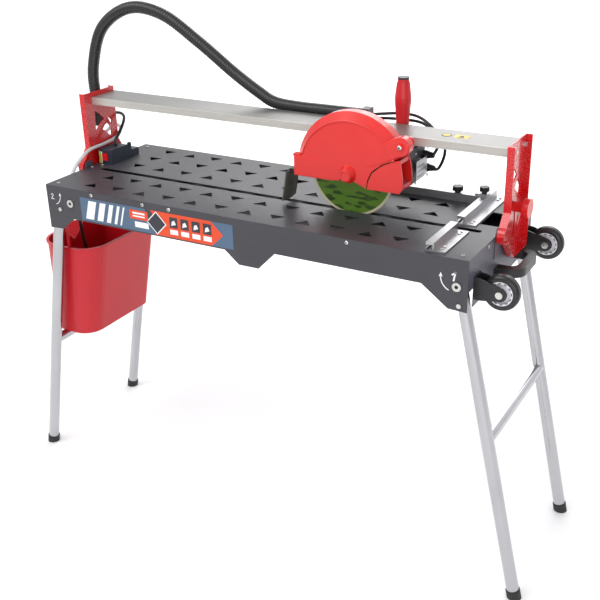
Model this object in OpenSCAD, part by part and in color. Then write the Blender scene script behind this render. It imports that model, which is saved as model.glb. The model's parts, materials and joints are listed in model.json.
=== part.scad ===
// Wet tile saw on a folding stand: a rail saw whose head slides along a tilting bridge.
// Millimetres. +X runs along the table, +Y to the back, +Z up.
// The origin is on the floor under the centre of the table.

/* [Table] */
// Length of the table, along the rail
table_l = 1100; // [960:10:1400]
// Width of the table, front to back
table_w = 396; // [380:2:500]
// Height of the table top above the floor
table_h = 790; // [640:5:960]
// Thickness of the table's sheet metal
sheet = 2; // [1.5:0.5:3]
// Depth of the side panels at the table's corners
apron_d = 112; // [100:2:135]
// Depth of the side panels along the middle
apron_mid_d = 66; // [52:2:80]
// Distance of the blade slot in front of the table's centre line
slot_y = 36; // [20:1:60]
// Width of the blade slot
slot_w = 16; // [10:1:24]
// Length of the triangular drain perforations
perf_l = 38; // [24:1:44]
// Depth of the triangular drain perforations, front to back
perf_w = 25; // [16:1:32]
// Distance between the columns of perforations
perf_pitch = 74.5; // [60:0.5:90]
// Distance between the rows of perforations
perf_row = 67; // [50:1:75]

/* [Blade and motor] */
// Diameter of the diamond blade
blade_d = 200; // [180:5:250]
// Depth that the blade reaches below the table top
blade_dip = 10; // [6:1:16]
// Thickness of the blade
blade_t = 2; // [1.6:0.2:3]
// Diameter of the blade shaft
arbor_d = 25.4; // [16:0.2:30]
// Diameter of the motor housing
motor_d = 96; // [90:1:120]
// Length of the motor housing
motor_l = 116; // [100:2:125]
// Distance of the blade's centre to the right of the table's centre
head_x = 213; // [0:1:300]

/* [Bridge] */
// Width of the rail extrusion
rail_w = 90; // [74:2:120]
// Height of the rail extrusion
rail_h = 18; // [16:1:26]
// Wall of the rail extrusion
rail_wall = 2.5; // [2:0.5:3.5]
// Distance of the rail's front face behind the table's centre line
rail_front_y = 5; // [2:1:12]
// Thickness of the support pressings
support_t = 3; // [2:0.5:4]
// Depth of the support flanges
flange_d = 13; // [9:1:20]
// Diameter of the tilt pivot bolts
tilt_pin_d = 10; // [8:1:14]

/* [Stand] */
// Diameter of the leg tubes
leg_d = 28; // [22:1:34]
// Wall of the leg tubes
leg_wall = 1.5; // [1.2:0.1:3]
// Splay of the left leg frame, in degrees
left_splay = 11.2; // [6:0.2:13]
// Splay of the right leg frame, in degrees
right_splay = 12.5; // [6:0.2:14]
// Diameter of the crossbars
crossbar_d = 25; // [18:1:28]
// Diameter of the leg pivot bolts
pivot_d = 10; // [8:1:12]

/* [Transport wheels] */
// Diameter of the wheels
wheel_d = 76; // [60:2:90]
// Width of the tyres
wheel_w = 24; // [18:1:30]
// Diameter of the wheel axles
axle_d = 8; // [6:1:10]

/* [Water] */
// Length of the bucket at its rim, front to back
bucket_l = 280; // [220:5:300]
// Width of the bucket at its rim
bucket_w = 190; // [150:5:220]
// Height of the bucket
bucket_h = 252; // [200:2:262]
// Wall of the bucket
bucket_wall = 3; // [2:0.5:5]

/* [Fence] */
// Distance of the cross fence from the table's right end
fence_inset = 98; // [80:1:140]
// Height of the fence extrusions
fence_h = 19; // [15:1:24]
// Width of the grooved part of the fence extrusions
fence_w = 17; // [14:1:22]

/* [Hidden] */

$fn = 48;
big = 2000;            // larger than any part, for cutting
touch = 0.3;           // air between pieces that move past each other
run = 0.05;            // radial clearance of a running fit
bite = 0.5;            // how far a welded piece runs into its neighbour

// table
end_x = table_l / 2;
side_y = table_w / 2;
deck_z = table_h - sheet;
apron_z = table_h - apron_d;
apron_mid_z = table_h - apron_mid_d;
slot_end_x = end_x - 35;
slot_start_x = -end_x + 40;
opening_x = [end_x - 54, end_x - 12];
opening_y = [6, 88];
tray_top = table_h - 18;
tray_floor = table_h - 36;

// head
blade_r = blade_d / 2;
blade_y = -slot_y;
blade_z = table_h + blade_r - blade_dip;
guard_r = blade_r + 34;
face_r = blade_r + 17;
guard_wall = 3;
guard_front_y = blade_y - 24;
guard_back_y = blade_y + 22;
arbor_r = arbor_d / 2;
motor_r = motor_d / 2;
motor_front_y = guard_back_y;
motor_back_y = motor_front_y + motor_l;
plate_t = 8;
rail_z = blade_z + motor_r + 3 + plate_t + 4;
rail_top = rail_z + rail_h;
rail_back_y = rail_front_y + rail_w;
rail_lip = rail_w * 0.22;
roller_r = (rail_h - 2 * rail_wall - 2 * touch) / 2;
roller_x = [head_x - 55, head_x + 95];
saddle_w = 68;
lug_x = head_x + 124;
lug_z = blade_z + 75;

// bridge
web_x = end_x + 2 + sheet;
support_front_y = -22;
support_back_y = rail_back_y - 2;
support_top = rail_top + 12;
ear_r = 20;
clamp_y = 36;
clamp_z = table_h + 40;
clamp_stud_d = 8;
switch_pin_d = 3;
clamp_r = norm([clamp_y + slot_y, clamp_z - table_h]);
clamp_a = atan2(clamp_z - table_h, clamp_y + slot_y);
tilt_range = 45;

// stand
leg_r = leg_d / 2;
foot_r = leg_r + 2;
leg_y = side_y - sheet - 1 - foot_r;
left_pivot = [-end_x + 76, table_h - 38.5];
right_pivot = [end_x - 23, table_h - 58.5];
left_offset = 52;
foot_h = 20;
left_foot = -(left_pivot[1] + left_offset * sin(left_splay)) / cos(left_splay);
right_foot = -right_pivot[1] / cos(right_splay);
left_bar_z = table_h - 450;
right_bar_z = table_h - 404;

// wheels
wheel_x = end_x + 54;
wheel_z = table_h - 74;
wheel_y = side_y - 48;
fork_t = 3;
hub_r = wheel_d / 2 - 12;

// bucket
rim_z = table_h - 180;
bucket_x = -end_x - 9;
bucket_y = -22;
hanger_x = -end_x + 22;
hanger_z = table_h - 96;
hanger_d = 8;

// fence
fence_x = end_x - fence_inset;
flange_w = 25;
guide_y = 122;
groove = 6;

// cords and hoses
hose_y = -100;
socket_x = web_x + support_t + 18;
socket_y = 45;
socket_z = rail_z - 38;
clamp_block = [head_x - 48, head_x - 28];
cord_y = rail_back_y + 17;
cord_z = rail_z + 24;
glands = [[83, blade_z + 22], [89, blade_z - 9]];
grip_x = head_x + 51;

function direction(a) = [cos(a), sin(a)];

// a point on the smooth curve through b and c, whose neighbours are a and d
function between(a, b, c, d, t) = 0.5 * (2 * b + (c - a) * t + (2 * a - 5 * b + 4 * c - d) * t * t
    + (3 * b - a - 3 * c + d) * t * t * t);

// the route with n steps between each pair of its points
function smooth(route, n) = [
    for (i = [0:len(route) - 2], j = [0:n - 1])
        between(route[max(i - 1, 0)], route[i], route[i + 1], route[min(i + 2, len(route) - 1)], j / n),
    route[len(route) - 1],
];

// the direction of a path at its point i
function heading(path, i) = path[min(i + 1, len(path) - 1)] - path[max(i - 1, 0)];

// directions square to the path at each of its points, carried along without twisting
function sides(path, i, last) = i == len(path) ? [] :
    let (t = heading(path, i) / norm(heading(path, i)), n = last - t * (last * t), u = n / norm(n))
    concat([u], sides(path, i + 1, u));

// a round tube along a route; n is the number of its flats and step the smoothing between points
module tube(route, r, n, step) {
    path = smooth(route, step);
    count = len(path);
    u = sides(path, 0, [0.3, 1, 0.2]);
    points = [
        for (i = [0:count - 1], j = [0:n - 1])
            let (t = heading(path, i) / norm(heading(path, i)), a = 360 * j / n)
            path[i] + r * (cos(a) * u[i] + sin(a) * cross(t, u[i])),
    ];
    walls = [
        for (i = [0:count - 2], j = [0:n - 1])
            [i * n + j, (i + 1) * n + j, (i + 1) * n + (j + 1) % n, i * n + (j + 1) % n],
    ];
    ends = [[for (j = [0:n - 1]) j], [for (j = [n - 1:-1:0]) (count - 1) * n + j]];
    polyhedron(points = points, faces = concat(walls, ends), convexity = 6);
}

module box(lo, hi) {
    translate(lo) cube(hi - lo);
}

// a cylinder along Y from y0 to y1, at (x, z)
module ycyl(x, z, r, y0, y1) {
    translate([x, y1, z]) rotate([90, 0, 0]) cylinder(r = r, h = y1 - y0);
}

// a cylinder along X from x0 to x1, at (y, z)
module xcyl(y, z, r, x0, x1) {
    translate([x0, y, z]) rotate([0, 90, 0]) cylinder(r = r, h = x1 - x0);
}

// a flat plate in the XZ plane, from y0 to y1, outlined by children
module xz_plate(y0, y1) {
    translate([0, y1, 0]) rotate([90, 0, 0]) linear_extrude(y1 - y0) children();
}

// a flat plate in the YZ plane, from x0 to x1, outlined by children as [y, z]
module yz_plate(x0, x1) {
    translate([x0, 0, 0]) rotate([90, 0, 90]) linear_extrude(x1 - x0) children();
}

// a flat rectangle with round corners, its lower left corner at the origin
module rounded(w, h, r) {
    translate([r, 0]) square([w - 2 * r, h]);
    translate([0, r]) square([w, h - 2 * r]);
    for (x = [r, w - r], y = [r, h - r])
        translate([x, y]) circle(r);
}

// ---- table ----

// the side panel's outline: deeper at both corners and under the middle
module apron_outline() {
    left_z = apron_mid_z - 13;
    polygon([
        [-end_x, apron_z], [-end_x + 41, apron_z + 2], [-end_x + 80, left_z],
        [-26, left_z], [10, apron_z + 3], [62, apron_z + 3], [105, apron_mid_z],
        [end_x - 100, apron_mid_z], [end_x - 41, apron_z + 2], [end_x, apron_z],
        [end_x, deck_z], [-end_x, deck_z],
    ]);
}

// the bolt holes that both side panels share
module apron_holes(y0, y1) {
    for (p = [left_pivot, right_pivot])
        ycyl(p[0], p[1], pivot_d / 2 + run, y0, y1);
}

module front_apron() {
    color("#3e3e46") difference() {
        xz_plate(-side_y, -side_y + sheet) apron_outline();
        apron_holes(-side_y - 1, -side_y + sheet + 1);
    }
}

module rear_apron() {
    color("#3e3e46") difference() {
        xz_plate(side_y - sheet, side_y) apron_outline();
        apron_holes(side_y - sheet - 1, side_y + 1);
    }
}

// an end panel, cut back at both corners to let the splayed legs pass
module end_panel(side) {
    notch_w = leg_d + 4;
    notch_h = 44;
    x0 = side < 0 ? -end_x : end_x - sheet;
    inner = side_y - sheet;
    color("#54525e") difference() {
        box([x0, -inner, apron_z], [x0 + sheet, inner, deck_z]);
        for (s = [-1, 1])
            translate([x0 - 1, s * (inner - notch_w / 2) - notch_w / 2, apron_z - 1])
                cube([sheet + 2, notch_w, notch_h]);
    }
}

module left_end_panel() {
    end_panel(-1);
}

module right_end_panel() {
    end_panel(1);
}

// the blade slot's outline, with round ends
module slot_outline() {
    r = slot_w / 2;
    translate([slot_start_x + r, -slot_y - r]) square([slot_end_x - slot_start_x - slot_w, slot_w]);
    for (x = [slot_start_x + r, slot_end_x - r])
        translate([x, -slot_y]) circle(r);
}

// a triangular perforation; dir is 1 where its point faces the back
module perforation(dir) {
    polygon([[-perf_l / 2, -dir * perf_w / 2], [perf_l / 2, -dir * perf_w / 2], [0, dir * perf_w / 2]]);
}

// columns of perforations in rows at the given distances behind the centre line
module perforations(rows, facing) {
    last = floor((table_l - 280) / perf_pitch);
    for (i = [0:last], y = rows)
        translate([-end_x + 110 + i * perf_pitch, y]) perforation((i % 2 == 0 ? -1 : 1) * facing);
}

module front_deck() {
    first = -slot_y - 49;
    count = floor((side_y - slot_y - 49 - perf_w) / perf_row);
    color("#4a4850") translate([0, 0, deck_z]) linear_extrude(sheet) difference() {
        translate([-end_x, -side_y]) square([table_l, side_y - slot_y]);
        slot_outline();
        perforations([for (j = [0:count]) first - j * perf_row], -1);
    }
}

module rear_deck() {
    first = -slot_y + 59;
    count = floor((side_y + slot_y - 59 - perf_w) / perf_row);
    color("#4a4850") translate([0, 0, deck_z]) linear_extrude(sheet) difference() {
        translate([-end_x, -slot_y]) square([table_l, side_y + slot_y]);
        slot_outline();
        perforations([for (j = [0:count]) first + j * perf_row], 1);
        translate([opening_x[0], opening_y[0]])
            square([opening_x[1] - opening_x[0], opening_y[1] - opening_y[0]]);
    }
}

// the pan that catches the cooling water and drains it into the bucket
module water_tray() {
    half = side_y - sheet - leg_d - 8;
    x0 = -end_x + 12;
    x1 = end_x - 8;
    drain = [-end_x + 60, bucket_y];
    color("#3a3a40") difference() {
        union() {
            box([x0, -half, tray_floor], [x1, half, tray_top]);
            translate([drain[0], drain[1], tray_floor - 16]) cylinder(r = 16, h = 17);
        }
        box([x0 + sheet, -half + sheet, tray_floor + sheet], [x1 - sheet, half - sheet, big]);
        translate([drain[0], drain[1], tray_floor - 17]) cylinder(r = 13, h = 30);
    }
}

// screws along the top edges of the side panels, on the deck and on the fences' feet
module deck_screws() {
    r = 4;
    z = table_h - 8;
    color("silver") {
        for (x = [-405, -251, -176, 282] * table_l / 1100, s = [-1, 1])
            ycyl(x, z, r, s < 0 ? -side_y - 1.4 : side_y, s < 0 ? -side_y : side_y + 1.4);
        for (x = [-end_x + 22, end_x - 22], y = [-side_y + 22, side_y - 22])
            translate([x, y, table_h]) cylinder(r = r, h = 1.4);
        for (y = [-90, 150])
            xcyl(y, z, r, end_x, end_x + 1.4);
        for (y = [-side_y + 26, -side_y + 40, -slot_y - 40, -slot_y - 28,
                  -slot_y + 32, -slot_y + 44, side_y - 38, side_y - 24])
            translate([fence_x + fence_w + flange_w / 2, y, table_h + 3]) cylinder(r = 3.2, h = 2.4);
    }
}

// a hexagonal nut or bolt head along Y, from y0 to y1
module yhex(x, z, af, y0, y1) {
    translate([x, y1, z]) rotate([90, 0, 0]) cylinder(r = af / sqrt(3), h = y1 - y0, $fn = 6);
}

// the bolts that the leg frames turn on, the left ones with spacer tubes, and the lock screws
module pivot_bolts() {
    r = pivot_d / 2;
    left_nut = leg_y - 3.3;
    right_nut = leg_y - leg_r - touch;
    color("silver") for (s = [0, 1]) mirror([0, s, 0]) {
        for (p = [[left_pivot, left_nut], [right_pivot, right_nut]]) {
            ycyl(p[0][0], p[0][1], r, -side_y, -p[1]);
            ycyl(p[0][0], p[0][1], pivot_d * 0.95, -side_y - 4, -side_y);
            yhex(p[0][0], p[0][1], pivot_d * 1.6, -p[1], -p[1] + 4.5);
        }
        difference() {
            ycyl(left_pivot[0], left_pivot[1], r + 4, -side_y + sheet, -leg_y - 3.3);
            ycyl(left_pivot[0], left_pivot[1], r + 0.5, -side_y, 0);
        }
        ycyl(left_pivot[0] - 36, left_pivot[1] - 20, 5, -side_y - 3, -side_y);
        ycyl(right_pivot[0] + 6, right_pivot[1] - 41, 5, -side_y - 3, -side_y);
    }
}

// the rod under the table's left end that the bucket hangs from
module bucket_hanger() {
    r = hanger_d / 2;
    half = leg_y - leg_r - 3;
    color("silver") {
        ycyl(hanger_x, hanger_z, r, -half, half);
        for (s = [-1, 1])
            box([-end_x + sheet, s * (half - 24) - 4, hanger_z - 3],
                [hanger_x, s * (half - 24) + 4, hanger_z + 3]);
    }
}

// a fence extrusion along Y: a grooved bar with a flat foot beside it
module fence(y0, y1) {
    wall = 2.5;
    color("#b8bac0") difference() {
        union() {
            box([fence_x, y0, table_h], [fence_x + fence_w, y1, table_h + fence_h]);
            box([fence_x + fence_w, y0, table_h], [fence_x + fence_w + flange_w, y1, table_h + 3]);
        }
        box([fence_x + wall, y0 - 1, table_h + wall],
            [fence_x + fence_w - wall, y1 + 1, table_h + fence_h - wall - 3]);
        box([fence_x - 1, y0 - 1, table_h + fence_h / 2 - groove / 2],
            [fence_x + wall + 1, y1 + 1, table_h + fence_h / 2 + groove / 2]);
    }
}

module front_fence() {
    fence(-side_y + 14, -slot_y - 16);
}

module rear_fence() {
    fence(-slot_y + 20, side_y - 10);
}

// the loop on the right end that the folded saw is carried by
module carry_handle() {
    y0 = -34;
    w = 130;
    out = 56;
    bar = 18;
    x0 = end_x;
    color("#1c1c1e") translate([x0, y0, table_h - 94]) linear_extrude(20) difference() {
        union() {
            translate([-out, 0]) intersection() {
                rounded(2 * out, w, 34);
                translate([out, 0]) square([out, w]);
            }
            translate([0, -12]) square([6, w + 24]);
        }
        translate([-out + bar, bar]) rounded(2 * (out - bar), w - 2 * bar, 20);
    }
}

// one wheel fork: a base plate, two cheeks with round ends, and a gusset
module wheel_fork(y) {
    gap = wheel_w / 2 + 2;
    cheek_r = 15;
    half_h = 20;
    difference() {
        union() {
            box([end_x, y - gap - fork_t, wheel_z - half_h],
                [end_x + 4, y + gap + fork_t, wheel_z + half_h + 10]);
            for (s = [-1, 1]) {
                y0 = s < 0 ? y - gap - fork_t : y + gap;
                xz_plate(y0, y0 + fork_t) {
                    translate([wheel_x, wheel_z]) circle(cheek_r);
                    polygon([
                        [end_x + 3, wheel_z - half_h], [end_x + 14, wheel_z - half_h],
                        [wheel_x + 4, wheel_z - cheek_r + 0.6], [wheel_x + 4, wheel_z + cheek_r - 0.6],
                        [end_x + 16, wheel_z + half_h + 6], [end_x + 3, wheel_z + half_h + 8],
                    ]);
                }
            }
        }
        ycyl(wheel_x, wheel_z, axle_d / 2 + run, y - gap - 10, y + gap + 10);
    }
}

module wheel_brackets() {
    color("#161618") for (s = [-1, 1]) wheel_fork(s * wheel_y);
}

module wheel_axles() {
    gap = wheel_w / 2 + 2 + fork_t;
    color("silver") for (s = [-1, 1]) {
        y = s * wheel_y;
        ycyl(wheel_x, wheel_z, axle_d / 2, y - gap - 1, y + gap + 1);
        ycyl(wheel_x, wheel_z, axle_d / 2 + 3.5, y - gap - 4, y - gap);
        yhex(wheel_x, wheel_z, axle_d * 1.6, y + gap, y + gap + 5);
    }
}

// a tyre with a rounded tread
module tyre(y) {
    r = wheel_d / 2;
    edge = wheel_w * 0.34;
    color("#1a1a1c") translate([wheel_x, y, wheel_z]) rotate([90, 0, 0]) rotate_extrude() {
        difference() {
            union() {
                translate([hub_r, -wheel_w / 2]) square([r - hub_r - edge, wheel_w]);
                translate([hub_r, -wheel_w / 2 + edge]) square([r - hub_r, wheel_w - 2 * edge]);
                for (z = [-1, 1]) translate([r - edge, z * (wheel_w / 2 - edge)]) circle(edge);
            }
            square([2 * hub_r, big], center = true);
        }
    }
}

// a spoked hub with a bore for the axle
module hub(y) {
    w = wheel_w - 2;
    color("#e4e4e8") translate([wheel_x, y, wheel_z]) rotate([90, 0, 0]) difference() {
        translate([0, 0, -w / 2]) cylinder(r = hub_r, h = w);
        translate([0, 0, -w]) cylinder(r = axle_d / 2 + run, h = 2 * w);
        for (s = [-1, 1]) translate([0, 0, s > 0 ? 3 : -w / 2 - 1]) difference() {
            cylinder(r = hub_r - 4, h = w / 2 - 2);
            cylinder(r = axle_d / 2 + 7, h = w);
        }
    }
}

module front_tyre() {
    tyre(-wheel_y);
}

module rear_tyre() {
    tyre(wheel_y);
}

module front_hub() {
    hub(-wheel_y);
}

module rear_hub() {
    hub(wheel_y);
}

// ---- tilt pivots and the electrical box at the table's ends ----

// the ears that carry the tilt pivots, and the right end's plate with the clamp's stud
module tilt_bracket() {
    x1 = end_x + sheet - touch;
    color("#3e3e46") {
        for (s = [0, 1]) mirror([s, 0, 0]) yz_plate(end_x, x1) {
            translate([-slot_y, table_h]) circle(16);
            translate([-slot_y - 16, table_h - 50]) square([32, 50]);
        }
        yz_plate(end_x, x1) polygon([
            [clamp_y - 18, table_h - 30], [clamp_y + 20, table_h - 30],
            [clamp_y + 12, clamp_z + 8], [clamp_y - 12, clamp_z + 8],
        ]);
        xcyl(clamp_y, clamp_z, clamp_stud_d / 2, end_x + bite, web_x + support_t + 20);
    }
}

// the bolts that the bridge tilts on, with their collars and heads
module tilt_bolts() {
    r = tilt_pin_d / 2;
    x0 = end_x + sheet - touch;
    x1 = web_x + support_t + touch;
    color("silver") for (s = [0, 1]) mirror([s, 0, 0]) {
        xcyl(-slot_y, table_h, r, x0, x1 + 1);
        xcyl(-slot_y, table_h, r + 3, x0, web_x - touch);
        xcyl(-slot_y, table_h, r + 4, x1, x1 + 4);
    }
}

// the red knob that clamps the tilt: a round grip on a long hub
module tilt_clamp_knob() {
    x0 = web_x + support_t + touch;
    color("#d8121a") difference() {
        union() {
            xcyl(clamp_y, clamp_z, 11, x0, x0 + 24);
            xcyl(clamp_y, clamp_z, 21, x0 + 22, x0 + 36);
        }
        xcyl(clamp_y, clamp_z, clamp_stud_d / 2 + run, x0 - 1, web_x + support_t + 20 + touch);
    }
}

// the box on the table's left end that holds the wiring, with the mains inlet behind it
module electrical_box() {
    x0 = -end_x + 4;
    color("#2c3040") difference() {
        union() {
            yz_plate(x0, x0 + 42) polygon([
                [0, table_h], [92, table_h], [92, table_h + 12], [66, table_h + 38], [0, table_h + 38],
            ]);
            box([x0 + 4, 90, table_h], [x0 + 38, 116, table_h + 18]);
        }
        box([x0 + 12, -1, table_h + 9], [x0 + 30, 7, table_h + 29]);
        box([x0 + 10, 108, table_h + 4], [x0 + 32, 117, table_h + 14]);
        xcyl(3, table_h + 19, switch_pin_d / 2 + run, x0 + 8, x0 + 34);
    }
}

// the rocker of the mains switch, in the front of the electrical box
module power_switch() {
    x0 = -end_x + 4 + 12 + touch;
    x1 = x0 + 18 - 2 * touch;
    color("#c8141a") {
        box([x0, -3, table_h + 10], [x1, 5, table_h + 28]);
        xcyl(3, table_h + 19, switch_pin_d / 2, x0 - 3, x1 + 3);
    }
}

// ---- folding stand ----

// the left leg frame's own directions, with the pivot at the origin
module left_frame() {
    translate([left_pivot[0], 0, left_pivot[1]]) rotate([0, left_splay, 0]) children();
}

// the right leg frame's own directions, with the pivot at the origin
module right_frame() {
    translate([right_pivot[0], 0, right_pivot[1]]) rotate([0, -right_splay, 0]) children();
}

// a leg tube down to z0 with a plug in its top end
module leg_tube(x, y, z0, z1) {
    translate([x, y, 0]) difference() {
        translate([0, 0, z0]) cylinder(r = leg_r, h = z1 - z0);
        translate([0, 0, z0 - 1]) cylinder(r = leg_r - leg_wall, h = z1 - z0 - 2);
    }
}

module left_leg(y) {
    color("#c8c8cc") left_frame() leg_tube(-left_offset, y, left_foot + 6, 15);
}

module left_front_leg() {
    left_leg(-leg_y);
}

module left_rear_leg() {
    left_leg(leg_y);
}

module right_leg(y) {
    color("#c8c8cc") right_frame() difference() {
        leg_tube(0, y, right_foot + 6, 14);
        ycyl(0, 0, pivot_d / 2 + run, y - leg_r - 1, y + leg_r + 1);
    }
}

module right_front_leg() {
    right_leg(-leg_y);
}

module right_rear_leg() {
    right_leg(leg_y);
}

// a crossbar between two leg tubes, its ends coped to fit them
module crossbar(x, z) {
    r = crossbar_d / 2;
    difference() {
        ycyl(x, z, r, -leg_y, leg_y);
        ycyl(x, z, r - leg_wall, -leg_y - 1, leg_y + 1);
        for (s = [-1, 1]) translate([x, s * leg_y, z - 2 * r]) cylinder(r = leg_r, h = 4 * r);
    }
}

module left_crossbar() {
    z = (left_bar_z - left_pivot[1] - left_offset * sin(left_splay)) / cos(left_splay);
    color("#c8c8cc") left_frame() crossbar(-left_offset, z);
}

module right_crossbar() {
    z = (right_bar_z - right_pivot[1]) / cos(right_splay);
    color("#c8c8cc") right_frame() crossbar(0, z);
}

// the plates that join the left leg tubes to their pivot bolts
module left_pivot_plates() {
    color("#b4b4ba") left_frame() for (s = [-1, 1]) difference() {
        xz_plate(s * leg_y - 3, s * leg_y + 3) difference() {
            union() {
                circle(15);
                polygon([[-left_offset, -60], [4, -14.4], [4, 14.4], [-left_offset, 14.4]]);
            }
            circle(pivot_d / 2 + run);
        }
        translate([-left_offset, s * leg_y, -80]) cylinder(r = leg_r, h = 120);
    }
}

// the cap on a leg's end, cut flat where it stands on the floor
module leg_cap(x, z0) {
    for (s = [-1, 1]) translate([x, s * leg_y, z0]) difference() {
        translate([0, 0, -12]) cylinder(r = foot_r, h = foot_h + 12);
        translate([0, 0, 6]) cylinder(r = leg_r + run, h = foot_h);
    }
}

module left_feet() {
    color("#1a1a1c") difference() {
        left_frame() leg_cap(-left_offset, left_foot);
        translate([0, 0, -big / 2]) cube([big, big, big], center = true);
    }
}

module right_feet() {
    color("#1a1a1c") difference() {
        right_frame() leg_cap(0, right_foot);
        translate([0, 0, -big / 2]) cube([big, big, big], center = true);
    }
}

// ---- sliding guide on the rear fence ----

// the stop bar, its bracket and tongue in the fence's groove, and the studs of both knobs
module guide_bar() {
    z0 = table_h + touch;
    top = table_h + fence_h;
    x1 = fence_x - touch;
    mid = table_h + fence_h / 2;
    half = groove / 2 - touch;
    color("#b8bac0") {
        difference() {
            box([fence_x - 272, guide_y, z0], [fence_x - 12, guide_y + 26, top]);
            box([fence_x - 273, guide_y + 3, table_h + 3], [fence_x - 40, guide_y + 27, top - 3]);
        }
        box([fence_x - 14, guide_y, z0], [x1, guide_y + 26, top]);
        box([x1 - bite, guide_y, mid - half], [fence_x + 5, guide_y + 26, mid + half]);
        box([fence_x + 3.5, guide_y, table_h + 4], [fence_x + 8, guide_y + 26, table_h + 12.5]);
        box([fence_x - 14, guide_y + 6, top - bite], [x1, guide_y + 26, top + 4]);
        box([fence_x - 14, guide_y + 6, top + touch], [fence_x + fence_w - 2, guide_y + 26, top + 4]);
        translate([fence_x + 4, guide_y + 16, top + 3]) cylinder(r = 3, h = 12);
        translate([fence_x - 56, guide_y + 8, top - 1]) cylinder(r = 3, h = 12);
    }
}

// a lobed knob around a stud
module knob(r, h) {
    difference() {
        union() {
            cylinder(r = r * 0.55, h = h);
            translate([0, 0, h * 0.3]) cylinder(r = r, h = h * 0.7);
        }
        for (a = [0:60:300]) rotate([0, 0, a])
            translate([r * 1.15, 0, -1]) cylinder(r = r * 0.32, h = h + 2);
        translate([0, 0, -1]) cylinder(r = 3 + run, h = 13);
    }
}

module guide_knob() {
    color("#1c1c1e") translate([fence_x + 4, guide_y + 16, table_h + fence_h + 4 + touch])
        knob(11, 15);
}

module stop_knob() {
    color("#1c1c1e") translate([fence_x - 56, guide_y + 8, table_h + fence_h + touch])
        knob(12, 15);
}

// ---- bucket ----

// the bucket's outline, square at the back and bowed at the front; grow widens it
module bucket_outline(w, l, grow) {
    front_r = w * 0.36;
    rear_r = 22;
    hull() {
        for (x = [-w + front_r, -front_r]) translate([x, -l / 2 + front_r]) circle(front_r + grow, $fn = 32);
        for (x = [-w + rear_r, -rear_r]) translate([x, l / 2 - rear_r]) circle(rear_r + grow, $fn = 24);
    }
}

// the bucket's body, tapered from the rim down; inset is the distance in from its outside
module bucket_solid(inset, z0, z1) {
    rim_w = bucket_w - 8;
    foot_w = bucket_w * 0.72;
    hull() {
        translate([bucket_x + bucket_w / 2 - 46, bucket_y - 3, z0])
            linear_extrude(0.01) bucket_outline(foot_w, bucket_l - 28, -inset);
        translate([bucket_x + bucket_w / 2 - 4, bucket_y, z1])
            linear_extrude(0.01) bucket_outline(rim_w, bucket_l - 8, -inset);
    }
}

// the lip that water is poured over
module bucket_lip(grow, z1) {
    x = bucket_x - bucket_w / 2;
    hull() {
        translate([x - 30, bucket_y - 8, z1 - 1]) cylinder(r = 6 + grow, h = 1, $fn = 24);
        translate([x + 6, bucket_y - 40, z1 - 1]) cylinder(r = 4 + grow, h = 1, $fn = 12);
        translate([x + 6, bucket_y + 40, z1 - 1]) cylinder(r = 4 + grow, h = 1, $fn = 12);
        translate([x + 12, bucket_y, z1 - 42]) cylinder(r = 5 + grow, h = 1, $fn = 12);
    }
}

// a strap from the bucket's rim that hooks over the hanger rod
module bucket_hook(y) {
    w = 7;
    air = 1;
    top = hanger_z + hanger_d / 2 + air;
    x0 = hanger_x - hanger_d / 2 - 5;
    x1 = hanger_x + hanger_d / 2 + 3;
    xz_plate(y - 2.5, y + 2.5) {
        translate([x0 - w, rim_z - 30]) square([w, top + w - rim_z + 30]);
        translate([x0 - w, top]) square([x1 + w - x0 + w, w]);
        translate([x1, hanger_z - 6]) square([w, top + w - hanger_z + 6]);
    }
}

module bucket() {
    z0 = rim_z - bucket_h;
    hook_y = bucket_l / 2 - 7;
    color("#b01420") {
        difference() {
            union() {
                bucket_solid(0, z0, rim_z);
                translate([bucket_x + bucket_w / 2 - 4, bucket_y, rim_z - 4])
                    linear_extrude(4) bucket_outline(bucket_w - 8, bucket_l - 8, 4);
                bucket_lip(2, rim_z);
            }
            bucket_solid(bucket_wall, z0 + bucket_wall, rim_z + 0.02);
            translate([0, 0, 1]) bucket_lip(0, rim_z);
        }
        for (s = [-1, 1]) bucket_hook(bucket_y + s * hook_y);
    }
}

// the submersible pump on the bucket's floor
module water_pump() {
    z0 = rim_z - bucket_h + bucket_wall;
    x = bucket_x - 10;
    color("#1e2024") {
        translate([x - 28, bucket_y - 44, z0]) linear_extrude(10) rounded(56, 88, 12);
        translate([x, bucket_y - 8, z0 + 9]) cylinder(r = 25, h = 48);
        translate([x, bucket_y + 26, z0 + 9]) cylinder(r = 14, h = 22);
        translate([x, bucket_y - 8, z0 + 56]) cylinder(r = 7, h = 16);
    }
}

// the hose from the pump to the table's end
module pump_hose() {
    x = bucket_x - 10;
    y = bucket_y - 8;
    z = rim_z - bucket_h + bucket_wall + 72;
    color("#303236") tube([
        [x, y, z], [x, y, z + 8], [x, y, z + 18], [x, y - 16, rim_z - 100], [x + 2, y - 40, rim_z - 20],
        [-end_x - 8, y - 60, table_h - 110], [-end_x - 7, hose_y, table_h - 66],
        [-end_x - 7, hose_y, table_h - 55], [-end_x - 7, hose_y, table_h - 45],
    ], 4.5, 8, 2);
}

// ---- bridge ----

// the aluminium rail: a wide channel whose open side faces down
module rail() {
    inner = rail_wall;
    color("#b8bac0") yz_plate(-web_x, web_x) difference() {
        translate([rail_front_y, rail_z]) square([rail_w, rail_h]);
        translate([rail_front_y + inner, rail_z + inner]) square([rail_w - 2 * inner, rail_h - 2 * inner]);
        translate([rail_front_y + rail_lip, rail_z - 1]) square([rail_w - 2 * rail_lip, rail_h / 2]);
    }
}

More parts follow.
